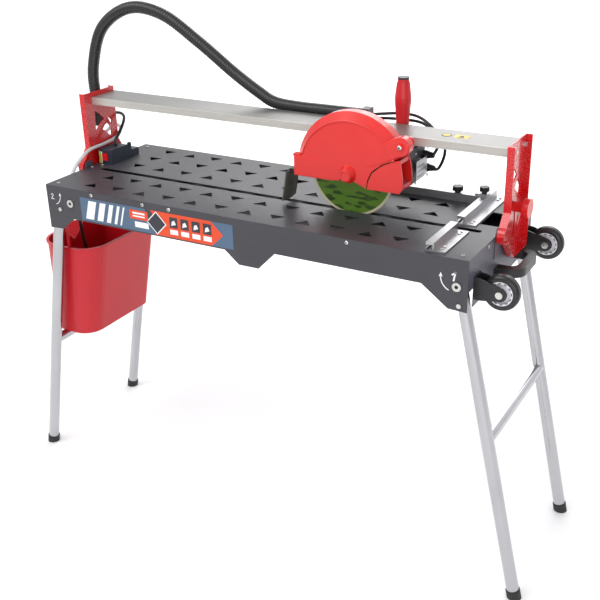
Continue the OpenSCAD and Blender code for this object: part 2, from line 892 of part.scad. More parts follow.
// the bolts that hold the rail's ends to the supports
module rail_bolts() {
    x0 = web_x + support_t;
    color("silver") for (s = [0, 1], y = [rail_front_y + 12, rail_back_y - 12])
        mirror([s, 0, 0]) {
            xcyl(y, rail_z + rail_h / 2, 6, x0, x0 + 1.5);
            translate([x0 + 1.5, y, rail_z + rail_h / 2]) rotate([0, 90, 0])
                cylinder(r = 5, h = 4, $fn = 6);
        }
}

// the support's corners, from the top front down to the pivot, under it and up to the top back
support_corners = [
    [support_front_y, support_top], [support_front_y, table_h + 44], [-slot_y - ear_r, table_h + 4],
    [-slot_y + 8, table_h - ear_r + 2], [24, table_h - 70], [rail_back_y + 12, table_h - 70],
    [rail_back_y + 17, table_h + 10], [support_back_y, table_h + 44], [support_back_y, support_top],
];

// a direction square to the line from a to b, on its left
function left_of(a, b) = let (u = (b - a) / norm(b - a)) [-u[1], u[0]];

// the corners of an outline moved in by t
function moved_in(points, t) = let (n = len(points)) [
    for (i = [0:n - 1])
        let (p = points[i], m = left_of(points[(i + n - 1) % n], p), k = left_of(p, points[(i + 1) % n]))
        p + t * (m + k) / (1 + m * k),
];

module support_outline(t) {
    polygon(moved_in(support_corners, t));
    translate([-slot_y, table_h]) circle(ear_r - t);
}

// a support pressing on the right end: a flat web with turned-out flanges
module support_shape(slotted) {
    z = table_h;
    x1 = web_x + support_t;
    yz_plate(web_x, x1) difference() {
        support_outline(0);
        translate([-slot_y, z]) circle(tilt_pin_d / 2 + run);
        polygon([[12, z + 139], [43, z + 108], [9, z + 82]]);
        polygon([[52, z + 97], [68, z + 78], [66, z + 56], [35, z + 81]]);
        polygon([[56, z + 113], [73, z + 96], [70, z + 86]]);
        if (slotted) polygon([[68, z + 36], [90, z + 8], [66, z - 30]]);
        if (slotted) clamp_slot();
    }
    yz_plate(x1 - bite, x1 + flange_d) difference() {
        support_outline(0);
        support_outline(support_t);
        translate([support_front_y + support_t, support_top - 20])
            square([support_back_y - support_front_y - 2 * support_t, 30]);
    }
}

// the arc that the clamp's stud runs in while the bridge tilts
module clamp_slot() {
    r = clamp_stud_d / 2 + 0.5;
    spare = 4;
    start = clamp_a - tilt_range - spare;
    span = tilt_range + 2 * spare;
    translate([-slot_y, table_h]) intersection() {
        difference() {
            circle(clamp_r + r);
            circle(clamp_r - r);
        }
        polygon([[0, 0], for (i = [0:2]) 2 * clamp_r * direction(start + span * i / 2)]);
    }
}

module left_support() {
    color("#d8121a") mirror([1, 0, 0]) support_shape(false);
}

module right_support() {
    color("#d8121a") support_shape(true);
}

// the socket on the left support that the conduit starts from
module conduit_socket() {
    x = -socket_x;
    color("#1c1c1e") {
        translate([x, socket_y, socket_z - 25]) cylinder(r = 18, h = 25);
        box([x, socket_y - 10, socket_z - 25], [-web_x - support_t, socket_y + 10, socket_z]);
        ycyl(x, socket_z - 13, 7, socket_y, socket_y + 21);
    }
}

// ---- cutting head ----

// the plate under the rail, its neck between the rail's lips, and what it carries
module carriage() {
    x0 = head_x - 63;
    x1 = head_x + 117;
    y0 = rail_front_y - 10;
    y1 = rail_back_y + 23;
    z1 = rail_z - 4;
    z0 = z1 - plate_t;
    neck_y = [rail_front_y + rail_lip + 5, rail_back_y - rail_lip - 5];
    color("#4a464e") difference() {
        union() {
            box([x0, y0, z0], [x1, y1, z1]);
            for (x = roller_x)
                box([x - 9, neck_y[0], z1 - bite], [x + 9, neck_y[1], rail_top - rail_wall - 2]);
            box([head_x - saddle_w / 2, y0 + 2, blade_z + motor_r * 0.4],
                [head_x + saddle_w / 2, y1 - 20, z0 + bite]);
            box([grip_x - 20, rail_back_y + 4, z1 - bite], [grip_x + 20, y1, rail_z + 12]);
            box([clamp_block[0], cord_y - 14, z1 - bite], [clamp_block[1], cord_y + 14, cord_z + 17]);
        }
        ycyl(head_x, blade_z, motor_r, y0 - 1, big);
        for (x = roller_x) ycyl(x, rail_z + rail_h / 2, 3 + run, y0, y1);
    }
}

// one axle with its two rollers, which run inside the rail
module roller_set(x) {
    z = rail_z + rail_h / 2;
    y0 = rail_front_y + rail_wall + 3;
    y1 = rail_back_y - rail_wall - 3;
    color("#2a2a2e") {
        ycyl(x, z, 3, y0, y1);
        ycyl(x, z, roller_r, y0 + 2, y0 + 14);
        ycyl(x, z, roller_r, y1 - 14, y1 - 2);
    }
}

module left_rollers() {
    roller_set(roller_x[0]);
}

module right_rollers() {
    roller_set(roller_x[1]);
}

module motor_housing() {
    wall = 5;
    color("#4a464e") difference() {
        ycyl(head_x, blade_z, motor_r, motor_front_y, motor_back_y);
        ycyl(head_x, blade_z, motor_r - wall, motor_front_y + 10, motor_back_y + 1);
        ycyl(head_x, blade_z, arbor_r + run, motor_front_y - 1, motor_front_y + 11);
    }
}

// the cap on the motor's back, which carries the shaft's end
module motor_end_cap() {
    color("#3a383e") difference() {
        union() {
            ycyl(head_x, blade_z, motor_r - 3, motor_back_y, motor_back_y + 5);
            ycyl(head_x, blade_z, 14, motor_back_y - 8, motor_back_y + 1);
        }
        ycyl(head_x, blade_z, 8 + run, motor_back_y - 9, motor_back_y + 1);
        for (a = [0:45:315])
            translate([head_x, motor_back_y + 6, blade_z]) rotate([90, a, 0])
                translate([26, 0, 0]) cylinder(r = 4, h = 3);
    }
}

// the box on the motor's side for its wiring, with two glands on its end
module terminal_box() {
    x1 = head_x + 117;
    z0 = blade_z - 30;
    z1 = rail_z - 4 - plate_t - 3;
    color("#4e4a52") difference() {
        union() {
            box([head_x + saddle_w / 2 + touch, 8, z0], [x1, motor_back_y + 4, z1]);
            for (g = glands) xcyl(g[0], g[1], 7, x1, x1 + 10);
        }
        box([head_x + motor_r + 4, 11, z0 + 3], [x1 - 3, motor_back_y - 14, z1 - 3]);
        ycyl(head_x, blade_z, motor_r, 0, big);
        translate([x1, motor_back_y + 4, z0]) rotate(45) cube([24, 24, 300], center = true);
    }
}

// the swinging cover's side of the guard, seen from the front
module cover_side() {
    polygon([
        [head_x - 170, blade_z - 19], [head_x - 38, blade_z - 19], [head_x - 18, blade_z - 13],
        [head_x + 12, blade_z - 13], [head_x + 35, blade_z - 22], [head_x + 44, blade_z - 27],
        [head_x + 48, blade_z - 6], [head_x + 57, blade_z + 13], [head_x + 81, blade_z + 32],
        [head_x + 121, blade_z + 50], [head_x + 190, blade_z + 80], [head_x + 190, blade_z + 200],
        [head_x - 170, blade_z + 200],
    ]);
}

// the fixed side of the guard, right of the swinging cover and 2 mm away from it
module fixed_side() {
    polygon([
        [head_x + 47, blade_z - 27], [head_x + 51, blade_z - 7], [head_x + 59, blade_z + 11],
        [head_x + 83, blade_z + 30], [head_x + 112, blade_z + 43], [head_x + 124, blade_z + 46],
        [head_x + 130, blade_z + 10], [head_x + 131, blade_z - 16], [head_x + 123, blade_z - 27],
    ]);
}

// the guard's fixed back plate, the fixed part beside the cover, and the cover's hinge post
module guard_back() {
    lug_r = 24;
    color("#dc2a24") difference() {
        union() {
            xz_plate(guard_back_y - guard_wall, guard_back_y) {
                intersection() {
                    translate([head_x, blade_z]) circle(guard_r - 1);
                    translate([head_x - 150, blade_z - 19]) square([400, 200]);
                }
                fixed_side();
                translate([lug_x, lug_z]) circle(12);
                translate([head_x + 90, blade_z + 20]) square([35, 50]);
            }
            difference() {
                xz_plate(guard_front_y, guard_back_y - bite) fixed_side();
                ycyl(head_x, blade_z, guard_r - guard_wall, guard_front_y + guard_wall, 0);
                ycyl(lug_x, lug_z, lug_r, guard_front_y - 1, guard_back_y - guard_wall);
            }
            ycyl(lug_x, lug_z, 9, -39, guard_back_y - 1);
            ycyl(lug_x, lug_z, 5, guard_front_y - 3, -38);
            ycyl(lug_x, lug_z, 8, guard_front_y - 5, guard_front_y - touch);
        }
        ycyl(head_x, blade_z, arbor_r + 9, guard_back_y - 10, guard_back_y + 1);
    }
}

// the guard's domed shell, turned about the blade's axis; inset is the distance in from its outside
module dome(inset) {
    back = inset > 0 ? 3 : 4;
    translate([head_x, 0, blade_z]) rotate([90, 0, 0]) rotate_extrude($fn = 96) polygon([
        [0, back - guard_back_y], [guard_r - inset, back - guard_back_y],
        [guard_r - inset, 40 - inset * 0.4], [face_r - inset * 0.4, -guard_front_y - inset],
        [0, -guard_front_y - inset],
    ]);
}

// the box-shaped lower left of the cover
module cover_block(inset) {
    box([head_x - guard_r + inset, guard_front_y + inset, blade_z - 19 - 2 * inset],
        [head_x - 45, guard_back_y - 4 + inset, blade_z + 26 - inset]);
}

// the cover that swings up around the lug to reach the blade
module guard_cover() {
    w = guard_wall;
    color("#dc2a24") difference() {
        union() {
            intersection() {
                union() {
                    dome(0);
                    cover_block(0);
                }
                xz_plate(guard_front_y - 1, 0) cover_side();
            }
            ycyl(lug_x, lug_z, 21, guard_front_y, -40);
            translate([head_x, guard_front_y + 1, blade_z]) rotate([90, 0, 0])
                cylinder(r1 = 21, r2 = 14, h = 13);
        }
        dome(w);
        cover_block(w);
        ycyl(lug_x, lug_z, 5 + run, guard_front_y - 2, 0);
    }
}

// the rubber flap at the cover's left end, with the bracket that holds it
module splash_flap() {
    x = head_x - guard_r;
    z = blade_z;
    color("#3a3a2c") {
        box([x - 20, guard_front_y - 6, table_h + 7], [x - 16, guard_back_y + 10, z - 14]);
        box([x - 17, guard_front_y + 12, z - 19], [x, guard_back_y - 12, z - 8]);
    }
}

// the blade's shaft with its flanges and nut, and the motor's core on it
module rotor() {
    core_y = [motor_front_y + 16, motor_back_y - 14];
    b0 = blade_y - blade_t / 2;
    b1 = blade_y + blade_t / 2;
    color("#9a9aa0") {
        ycyl(head_x, blade_z, arbor_r, b0 - 8, motor_back_y - 12);
        ycyl(head_x, blade_z, 8, motor_back_y - 13, motor_back_y - 0.5);
        ycyl(head_x, blade_z, arbor_r + 9.5, b1, b1 + 4);
        ycyl(head_x, blade_z, arbor_r + 9.5, b0 - 4, b0);
        yhex(head_x, blade_z, arbor_d + 6, b0 - 14, b0 - 4);
        ycyl(head_x, blade_z, motor_r - 12, core_y[0], core_y[1]);
    }
}

module blade() {
    color("#4a7020") difference() {
        ycyl(head_x, blade_z, blade_r, blade_y - blade_t / 2, blade_y + blade_t / 2);
        ycyl(head_x, blade_z, arbor_r + run, blade_y - blade_t, blade_y + blade_t);
    }
}

// the upright grip that the head is pushed by
module handle_grip() {
    y = rail_back_y + 17;
    z = rail_z + 12;
    color("#c8343c") translate([grip_x, y, z]) rotate_extrude() polygon([
        [0, 0], [14, 0], [15.5, 18], [18.5, 52], [18.5, 62], [15.5, 88], [14.5, 96],
        [13, 96], [13, 107], [0, 107],
    ]);
}

// the ribbed conduit from the bridge's left end to the head, with its slack in a loop
module conduit() {
    x = -socket_x;
    top = rail_top;
    color("#222226") tube([
        [x, socket_y, socket_z], [x, socket_y, socket_z + 20], [x, socket_y, socket_z + 50],
        [x + 2, socket_y + 2, top + 70],
        [x + 35, socket_y + 12, top + 165], [x + 118, socket_y + 22, top + 217],
        [x + 210, socket_y + 35, top + 205], [x + 305, socket_y + 48, top + 143],
        [x + 394, socket_y + 60, top + 75], [x + 462, cord_y - 4, top + 33],
        [x + 505, cord_y - 2, top + 12], [x + 570, cord_y, cord_z],
        [clamp_block[0] - 80, cord_y, cord_z], [clamp_block[0], cord_y, cord_z],
    ], 15, 12, 2);
}

// the two motor leads, from the conduit's clamp behind the grip to the glands
module head_cables() {
    x0 = clamp_block[1];
    x1 = head_x + 127;
    color("#161618") {
        tube([
            [x0, cord_y - 7, cord_z + 4], [x0 + 14, cord_y - 4, cord_z + 6],
            [grip_x - 10, cord_y + 26, cord_z + 6],
            [grip_x + 40, cord_y + 20, cord_z], [x1 + 14, cord_y - 4, rail_z - 5],
            [x1 + 16, glands[0][0], glands[0][1] + 6], [x1, glands[0][0], glands[0][1]],
        ], 3.5, 8, 2);
        tube([
            [x0, cord_y + 7, cord_z - 6], [x0 + 14, cord_y + 10, cord_z - 6],
            [grip_x - 10, cord_y + 27, cord_z - 8],
            [grip_x + 45, cord_y + 26, cord_z - 14], [x1 + 22, cord_y + 12, rail_z - 30],
            [x1 + 22, glands[1][0] + 6, glands[1][1]], [x1, glands[1][0], glands[1][1]],
        ], 3.5, 8, 2);
    }
}

// the wire from the electrical box to the socket on the bridge
module feed_cable() {
    x = -end_x + 25;
    z = table_h + 38;
    color("#161618") tube([
        [x, 46, z], [x, 46, z + 14], [x - 1, 76, z + 40], [x - 10, 101, z + 60],
        [x - 27, support_back_y + 19, z + 67], [-socket_x + 5, support_back_y + 19, z + 68],
        [-socket_x - 7, support_back_y + 9, socket_z - 10], [-socket_x - 5, support_back_y - 6, socket_z - 13],
        [-socket_x, socket_y + 30, socket_z - 13], [-socket_x, socket_y + 21, socket_z - 13],
    ], 4, 8, 1);
}

// the water hose from the table's end to the socket on the bridge
module feed_hose() {
    x = -end_x;
    z = table_h;
    color("#c8ccd0") tube([
        [x - 7, hose_y, z - 45], [x - 7, hose_y, z - 25], [x - 4, -90, z + 5], [x + 3, -66, z + 30],
        [x + 4, -30, z + 44], [x + 4, 30, z + 46], [x + 4, 78, z + 52],
        [x - 1, support_back_y + 8, z + 66], [x - 14, support_back_y + 13, z + 75],
        [x - 27, support_back_y + 4, z + 74], [-socket_x - 3, support_back_y - 16, z + 64],
        [-socket_x - 1, socket_y + 6, z + 64], [-socket_x, socket_y, z + 76],
        [-socket_x, socket_y, socket_z - 25],
    ], 4.5, 8, 1);
}

front_apron();
rear_apron();
left_end_panel();
right_end_panel();
front_deck();
rear_deck();
water_tray();
deck_screws();
pivot_bolts();
bucket_hanger();
front_fence();
rear_fence();
carry_handle();
wheel_brackets();
wheel_axles();
front_tyre();
front_hub();
rear_tyre();
rear_hub();
tilt_bracket();
tilt_bolts();
tilt_clamp_knob();
electrical_box();
power_switch();
feed_cable();
feed_hose();
left_front_leg();
left_rear_leg();
left_crossbar();
left_pivot_plates();
left_feet();
right_front_leg();
right_rear_leg();
right_crossbar();
right_feet();
guide_bar();
guide_knob();
stop_knob();
bucket();
water_pump();
pump_hose();
rail();
rail_bolts();
left_support();
right_support();
conduit_socket();
carriage();
left_rollers();
right_rollers();
motor_housing();
motor_end_cap();
terminal_box();
guard_back();
handle_grip();
conduit();
head_cables();
rotor();
blade();
guard_cover();
splash_flap();
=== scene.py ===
"""Wet tile saw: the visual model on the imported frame.

Metres, with +X along the rail, +Y to the back and +Z up.
"""

import json
import math

import bpy
from mathutils import Matrix, Vector


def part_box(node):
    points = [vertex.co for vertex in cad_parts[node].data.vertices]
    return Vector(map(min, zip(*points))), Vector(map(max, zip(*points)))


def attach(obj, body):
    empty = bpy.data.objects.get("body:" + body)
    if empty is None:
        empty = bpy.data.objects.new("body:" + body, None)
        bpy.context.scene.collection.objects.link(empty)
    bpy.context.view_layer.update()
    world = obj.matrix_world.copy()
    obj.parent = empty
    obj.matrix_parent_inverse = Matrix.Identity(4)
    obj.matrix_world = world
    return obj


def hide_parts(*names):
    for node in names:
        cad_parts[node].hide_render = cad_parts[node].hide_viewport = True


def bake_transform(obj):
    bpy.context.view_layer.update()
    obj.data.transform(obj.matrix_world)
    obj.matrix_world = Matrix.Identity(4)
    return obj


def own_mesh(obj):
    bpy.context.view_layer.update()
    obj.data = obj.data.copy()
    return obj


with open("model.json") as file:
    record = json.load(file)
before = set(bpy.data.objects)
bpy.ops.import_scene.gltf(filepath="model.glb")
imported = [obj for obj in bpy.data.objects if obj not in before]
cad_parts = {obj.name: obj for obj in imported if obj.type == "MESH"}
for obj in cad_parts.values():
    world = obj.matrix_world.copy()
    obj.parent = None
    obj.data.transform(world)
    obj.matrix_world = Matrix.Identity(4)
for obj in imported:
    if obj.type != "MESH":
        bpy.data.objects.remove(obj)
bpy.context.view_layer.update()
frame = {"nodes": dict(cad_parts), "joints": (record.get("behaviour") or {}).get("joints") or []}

# ---------------------------------------------------------------- places, from the frame

deck_lo, deck_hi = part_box("rear_deck")
front_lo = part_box("front_deck")[0]
TOP = deck_hi.z
LEFT, RIGHT = deck_lo.x, deck_hi.x
FRONT, BACK = front_lo.y, deck_hi.y
blade_lo, blade_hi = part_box("blade")
BLADE = (blade_lo + blade_hi) / 2
BLADE_R = (blade_hi.x - blade_lo.x) / 2
cover_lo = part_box("guard_cover")[0]
back_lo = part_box("guard_back")[0]
box_lo, box_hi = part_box("terminal_box")
housing_lo, housing_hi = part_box("motor_housing")
rail_lo, rail_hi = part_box("rail")
socket_lo, socket_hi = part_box("conduit_socket")
elec_lo, elec_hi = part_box("electrical_box")
bucket_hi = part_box("bucket")[1]
grip_lo, grip_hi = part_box("handle_grip")
flap_lo, flap_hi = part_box("splash_flap")
pump_lo, pump_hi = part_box("water_pump")
JOINT = {j["name"]: j for j in frame["joints"]}
GUARD_FRONT = cover_lo.y + 0.012

# the camera's place, and its angles in radians
CAMERA_AT = Vector((1.1466, -1.8666, 1.5236))
CAMERA_YAW, CAMERA_PITCH, CAMERA_ROLL = 0.5310, 0.4340, -0.0254
CAMERA_LENS, CAMERA_SENSOR = 58.41, 36  # millimetres

FLOOR_DROP = 0.0006  # the floor lies this far under the feet
SHARP_EDGE = math.radians(38)  # an edge that turns more than this is rounded
SHARP_SIDE = math.radians(35)  # turned sides that turn more than this keep a crease
EDGE_WIDTH = 0.0006  # the usual rounding
INK = 0.0003  # how thick a printed mark is
TUBE_GAP = 0.003  # the distance between a lead's rings


# ---------------------------------------------------------------- camera, floor and light

def aim(location, target, roll=0.0):
    """A world matrix that looks from location to target along its -Z."""
    look = (Vector(target) - Vector(location)).normalized()
    turn = look.to_track_quat("-Z", "Y").to_matrix().to_4x4()
    return Matrix.Translation(Vector(location)) @ turn @ Matrix.Rotation(roll, 4, "Z")


def make_camera():
    data = bpy.data.cameras.new("camera")
    data.lens = CAMERA_LENS
    data.sensor_width = CAMERA_SENSOR
    data.clip_start = 0.05
    data.clip_end = 60
    cam = bpy.data.objects.new("camera", data)
    bpy.context.scene.collection.objects.link(cam)
    level = math.cos(CAMERA_PITCH)
    look = Vector((-math.sin(CAMERA_YAW) * level, math.cos(CAMERA_YAW) * level, -math.sin(CAMERA_PITCH)))
    cam.matrix_world = aim(CAMERA_AT, CAMERA_AT + look, roll=CAMERA_ROLL)
    bpy.context.scene.camera = cam


def area_light(name, place, target, size, power):
    data = bpy.data.lights.new(name, "AREA")
    data.shape = "RECTANGLE"
    data.size, data.size_y = size
    data.energy = power
    light = bpy.data.objects.new(name, data)
    bpy.context.scene.collection.objects.link(light)
    light.matrix_world = aim(place, target)


def make_stage():
    """A floor that curves up into a backdrop, four soft lights and the world round them."""
    mesh = bpy.data.meshes.new("floor")
    rows, depth, height, bend = [], 5.0, 4.0, 1.2
    rows.append((-depth, 0.0))
    for k in range(13):
        a = math.pi / 2 * k / 12
        rows.append((depth - bend + bend * math.sin(a), bend - bend * math.cos(a)))
    rows.append((depth, height))
    verts = [(x, y, z) for y, z in rows for x in (-9, 9)]
    faces = [(2 * i, 2 * i + 1, 2 * i + 3, 2 * i + 2) for i in range(len(rows) - 1)]
    mesh.from_pydata(verts, [], faces)
    for p in mesh.polygons:
        p.use_smooth = True
    floor = bpy.data.objects.new("floor", mesh)
    bpy.context.scene.collection.objects.link(floor)
    floor.location.z = -FLOOR_DROP
    mesh.materials.append(paper())
    studio_world()
    area_light("key", (-1.0, -1.6, 3.2), (0.1, 0, 0.4), (2.4, 1.8), 50)
    area_light("front", (1.8, -3.4, 1.3), (0, 0, 0.7), (2.6, 1.0), 30)
    area_light("back", (-0.6, 2.6, 2.6), (0, 0, 0.8), (2.6, 1.0), 26)
    area_light("backdrop", (-1.2, 2.4, 3.2), (-1.2, 5.0, 1.2), (4.0, 1.0), 150)
    bpy.context.scene.view_settings.view_transform = "Standard"
    bpy.context.scene.view_settings.look = "None"


def studio_world():
    """A white studio with softly darker flats standing round it, which the chrome reflects."""
    world = bpy.data.worlds.new("studio")
    bpy.context.scene.world = world
    world.use_nodes = True
    tree = world.node_tree
    background = tree.nodes["Background"]
    background.inputs["Strength"].default_value = 0.86

    def step(kind, *values):
        node = tree.nodes.new("ShaderNodeMath")
        node.operation = kind
        for socket, value in zip(node.inputs, values):
            if isinstance(value, bpy.types.NodeSocket):
                tree.links.new(value, socket)
            else:
                socket.default_value = value
        return node.outputs[0]

    split = tree.nodes.new("ShaderNodeSeparateXYZ")
    tree.links.new(tree.nodes.new("ShaderNodeTexCoord").outputs["Generated"], split.inputs[0])
    turn = step("ARCTAN2", split.outputs[0], step("MULTIPLY", split.outputs[1], -1.0))
    wave = step("COSINE", step("MULTIPLY", step("SUBTRACT", turn, 0.55), 4.0))
    sides = step("ADD", step("MULTIPLY", wave, 0.5), 0.5)
    share = step("MAXIMUM", sides, step("MULTIPLY", split.outputs[2], 1.4))
    mix = tree.nodes.new("ShaderNodeMix")
    mix.data_type = "RGBA"
    tree.links.new(share, mix.inputs["Factor"])
    mix.inputs["A"].default_value = (0.50, 0.51, 0.53, 1)
    mix.inputs["B"].default_value = (1.0, 1.0, 1.0, 1)
    tree.links.new(mix.outputs["Result"], background.inputs["Color"])


# ---------------------------------------------------------------- materials

class Nodes:
    """A new material's node tree, with short ways to add and join nodes."""

    def __init__(self, name):
        self.material = bpy.data.materials.new(name)
        self.material.use_nodes = True
        self.tree = self.material.node_tree
        self.shader = self.tree.nodes["Principled BSDF"]
        coords = self.tree.nodes.new("ShaderNodeTexCoord")
        self.place = coords.outputs["Object"]

    def add(self, kind, **inputs):
        node = self.tree.nodes.new(kind)
        for key, value in inputs.items():
            self.put(node.inputs[key.replace("_", " ")], value)
        return node

    def put(self, socket, value):
        if isinstance(value, bpy.types.NodeSocket):
            self.tree.links.new(value, socket)
        elif hasattr(socket.default_value, "__len__") and not hasattr(value, "__len__"):
            socket.default_value = [value] * len(socket.default_value)
        else:
            socket.default_value = value

    def math(self, kind, a, b=0.0):
        node = self.tree.nodes.new("ShaderNodeMath")
        node.operation = kind
        for socket, value in zip(node.inputs, (a, b)):
            self.put(socket, value)
        return node.outputs[0]

    def axes(self):
        split = self.add("ShaderNodeSeparateXYZ", Vector=self.place)
        return split.outputs[0], split.outputs[1], split.outputs[2]

    def scaled(self, scale):
        mapping = self.tree.nodes.new("ShaderNodeMapping")
        self.put(mapping.inputs["Vector"], self.place)
        mapping.inputs["Scale"].default_value = scale
        return mapping.outputs[0]

    def noise(self, scale, detail=3.0, stretch=(1, 1, 1)):
        node = self.add("ShaderNodeTexNoise", Vector=self.scaled(stretch), Scale=scale, Detail=detail)
        return node.outputs[0]

    def spread(self, value, low, high, start=0.3, end=0.7):
        node = self.tree.nodes.new("ShaderNodeMapRange")
        for socket, given in zip(node.inputs, (value, start, end, low, high)):
            self.put(socket, given)
        return node.outputs[0]

    def mix(self, share, a, b):
        node = self.tree.nodes.new("ShaderNodeMix")
        node.data_type = "RGBA"
        self.put(node.inputs["Factor"], share)
        self.put(node.inputs["A"], a)
        self.put(node.inputs["B"], b)
        return node.outputs["Result"]

    def bump(self, height, strength):
        node = self.add("ShaderNodeBump", Height=height, Strength=strength, Distance=0.001)
        self.put(self.shader.inputs["Normal"], node.outputs[0])


def rgba(color, gain=1.0):
    return tuple(min(1.0, c * gain) for c in color) + (1.0,)


def finish_of(name, color, rough, metal=0.0, vary=0.12, grain=900.0, depth=0.05, coat=0.0,
              stretch=(1, 1, 1), blotch=9.0, worn=0.0):
    """The usual finish, as Nodes: blotches in the colour, grain in the roughness and a fine bump.

    The last argument is how much lighter the colour is made on the piece's sharp edges, broken up by the
    grain.
    """
    n = Nodes(name)
    patch = n.noise(blotch, 4.0)
    fine = n.noise(grain, 2.0, stretch)
    base = n.mix(n.spread(patch, 0.0, 1.0), rgba(color, 1 - vary), rgba(color, 1 + vary))
    if worn:
        # lighter colour on the sharpest edges, where the mesh turns most
        edge = n.add("ShaderNodeNewGeometry").outputs["Pointiness"]
        share = n.math("MULTIPLY", n.spread(edge, 0.0, worn, 0.52, 0.6), n.spread(fine, 0.3, 1.0))
        base = n.mix(share, base, rgba(color, 1.9))
    n.put(n.shader.inputs["Base Color"], base)
    n.put(n.shader.inputs["Roughness"], n.spread(fine, rough * 0.85, min(1.0, rough * 1.2)))
    n.shader.inputs["Metallic"].default_value = metal
    n.shader.inputs["Coat Weight"].default_value = coat
    n.shader.inputs["Coat Roughness"].default_value = 0.08
    n.bump(fine, depth)
    return n


def plain(name, color, rough, **more):
    """The usual finish, as a material."""
    return finish_of(name, color, rough, **more).material


def paper():
    return plain("paper", (0.93, 0.93, 0.94), 0.6, vary=0.004, grain=300, depth=0.01, blotch=0.6)


def aluminium(name, color, rough, along=(1, 60, 60)):
    """Extruded aluminium, with its die lines running along the piece."""
    n = Nodes(name)
    lines = n.noise(14.0, 3.0, along)
    patch = n.noise(7.0)
    tone = n.mix(n.spread(lines, 0, 1), rgba(color, 0.93), rgba(color, 1.05))
    n.put(n.shader.inputs["Base Color"], tone)
    n.put(n.shader.inputs["Roughness"],
          n.math("ADD", n.spread(lines, rough * 0.8, rough * 1.2), n.spread(patch, -0.03, 0.04)))
    n.shader.inputs["Metallic"].default_value = 0.85
    n.bump(lines, 0.08)
    return n.material


def rail_metal():
    """The rail's anodised aluminium: a grey top, and a front face painted bright cream as painted light,
    since it is only lit more from the front.
    """
    n = Nodes("rail_anodised")
    lines = n.noise(14.0, 3.0, (1, 60, 60))
    patch = n.noise(5.0)
    # painted light: the front face gets a bright cream colour for the light falling on it, and the top
    # keeps the darker grey
    painted_lit_front = n.spread(n.axes()[1], 1.0, 0.0, rail_lo.y + 0.0012, rail_lo.y + 0.0016)
    grey = n.mix(n.spread(patch, 0, 1), (0.19, 0.187, 0.180, 1), (0.24, 0.236, 0.228, 1))
    base = n.mix(painted_lit_front, grey, (0.62, 0.595, 0.55, 1))
    n.put(n.shader.inputs["Base Color"], n.mix(n.spread(lines, 0, 0.35), base, (0.34, 0.335, 0.325, 1)))
    n.put(n.shader.inputs["Roughness"], n.spread(lines, 0.34, 0.46))
    n.shader.inputs["Metallic"].default_value = 0.6
    n.bump(lines, 0.08)
    return n.material


def green_blade():
    """The blade: a green print with darker lens shapes, a pale rim, and fine turning marks."""
    n = Nodes("blade_print")
    x, _, z = n.axes()
    dx = n.math("SUBTRACT", x, BLADE.x)
    dz = n.math("SUBTRACT", z, BLADE.z)
    r = n.math("SQRT", n.math("ADD", n.math("MULTIPLY", dx, dx), n.math("MULTIPLY", dz, dz)))
    patch = n.noise(60.0, 3.0, (1, 1, 2.2))
    lenses = n.noise(34.0, 0.0, (1, 1, 2.8))
    dark = n.spread(lenses, 0.0, 1.0, 0.57, 0.63)
    green = n.mix(dark, (0.090, 0.190, 0.020, 1), (0.010, 0.030, 0.008, 1))
    green = n.mix(n.spread(n.noise(18.0), 0.0, 0.35), green, (0.13, 0.24, 0.03, 1))
    rim = n.spread(r, 0.0, 1.0, BLADE_R - 0.0058, BLADE_R - 0.005)
    n.put(n.shader.inputs["Base Color"], n.mix(rim, green, (0.56, 0.52, 0.36, 1)))
    rings = n.math("SINE", n.math("MULTIPLY", r, 5200.0))
    n.put(n.shader.inputs["Roughness"], n.spread(patch, 0.28, 0.45))
    n.shader.inputs["Metallic"].default_value = 0.25
    n.bump(rings, 0.04)
    return n.material


def two_tone(name, low, high, level):
    """One plastic up to a height, and another above it."""
    n = finish_of(name, low, 0.4, grain=700, depth=0.06)
    under = n.shader.inputs["Base Color"].links[0].from_socket
    share = n.spread(n.axes()[2], 0.0, 1.0, level - 0.0003, level + 0.0003)
    n.put(n.shader.inputs["Base Color"], n.mix(share, under, rgba(high)))
    return n.material


def clear_vinyl():
    """The water hose's milky, half clear plastic."""
    n = finish_of("clear_vinyl", (0.72, 0.75, 0.77), 0.14, grain=120, depth=0.03, vary=0.05)
    n.shader.inputs["Transmission Weight"].default_value = 0.45
    n.shader.inputs["IOR"].default_value = 1.45
    return n.material


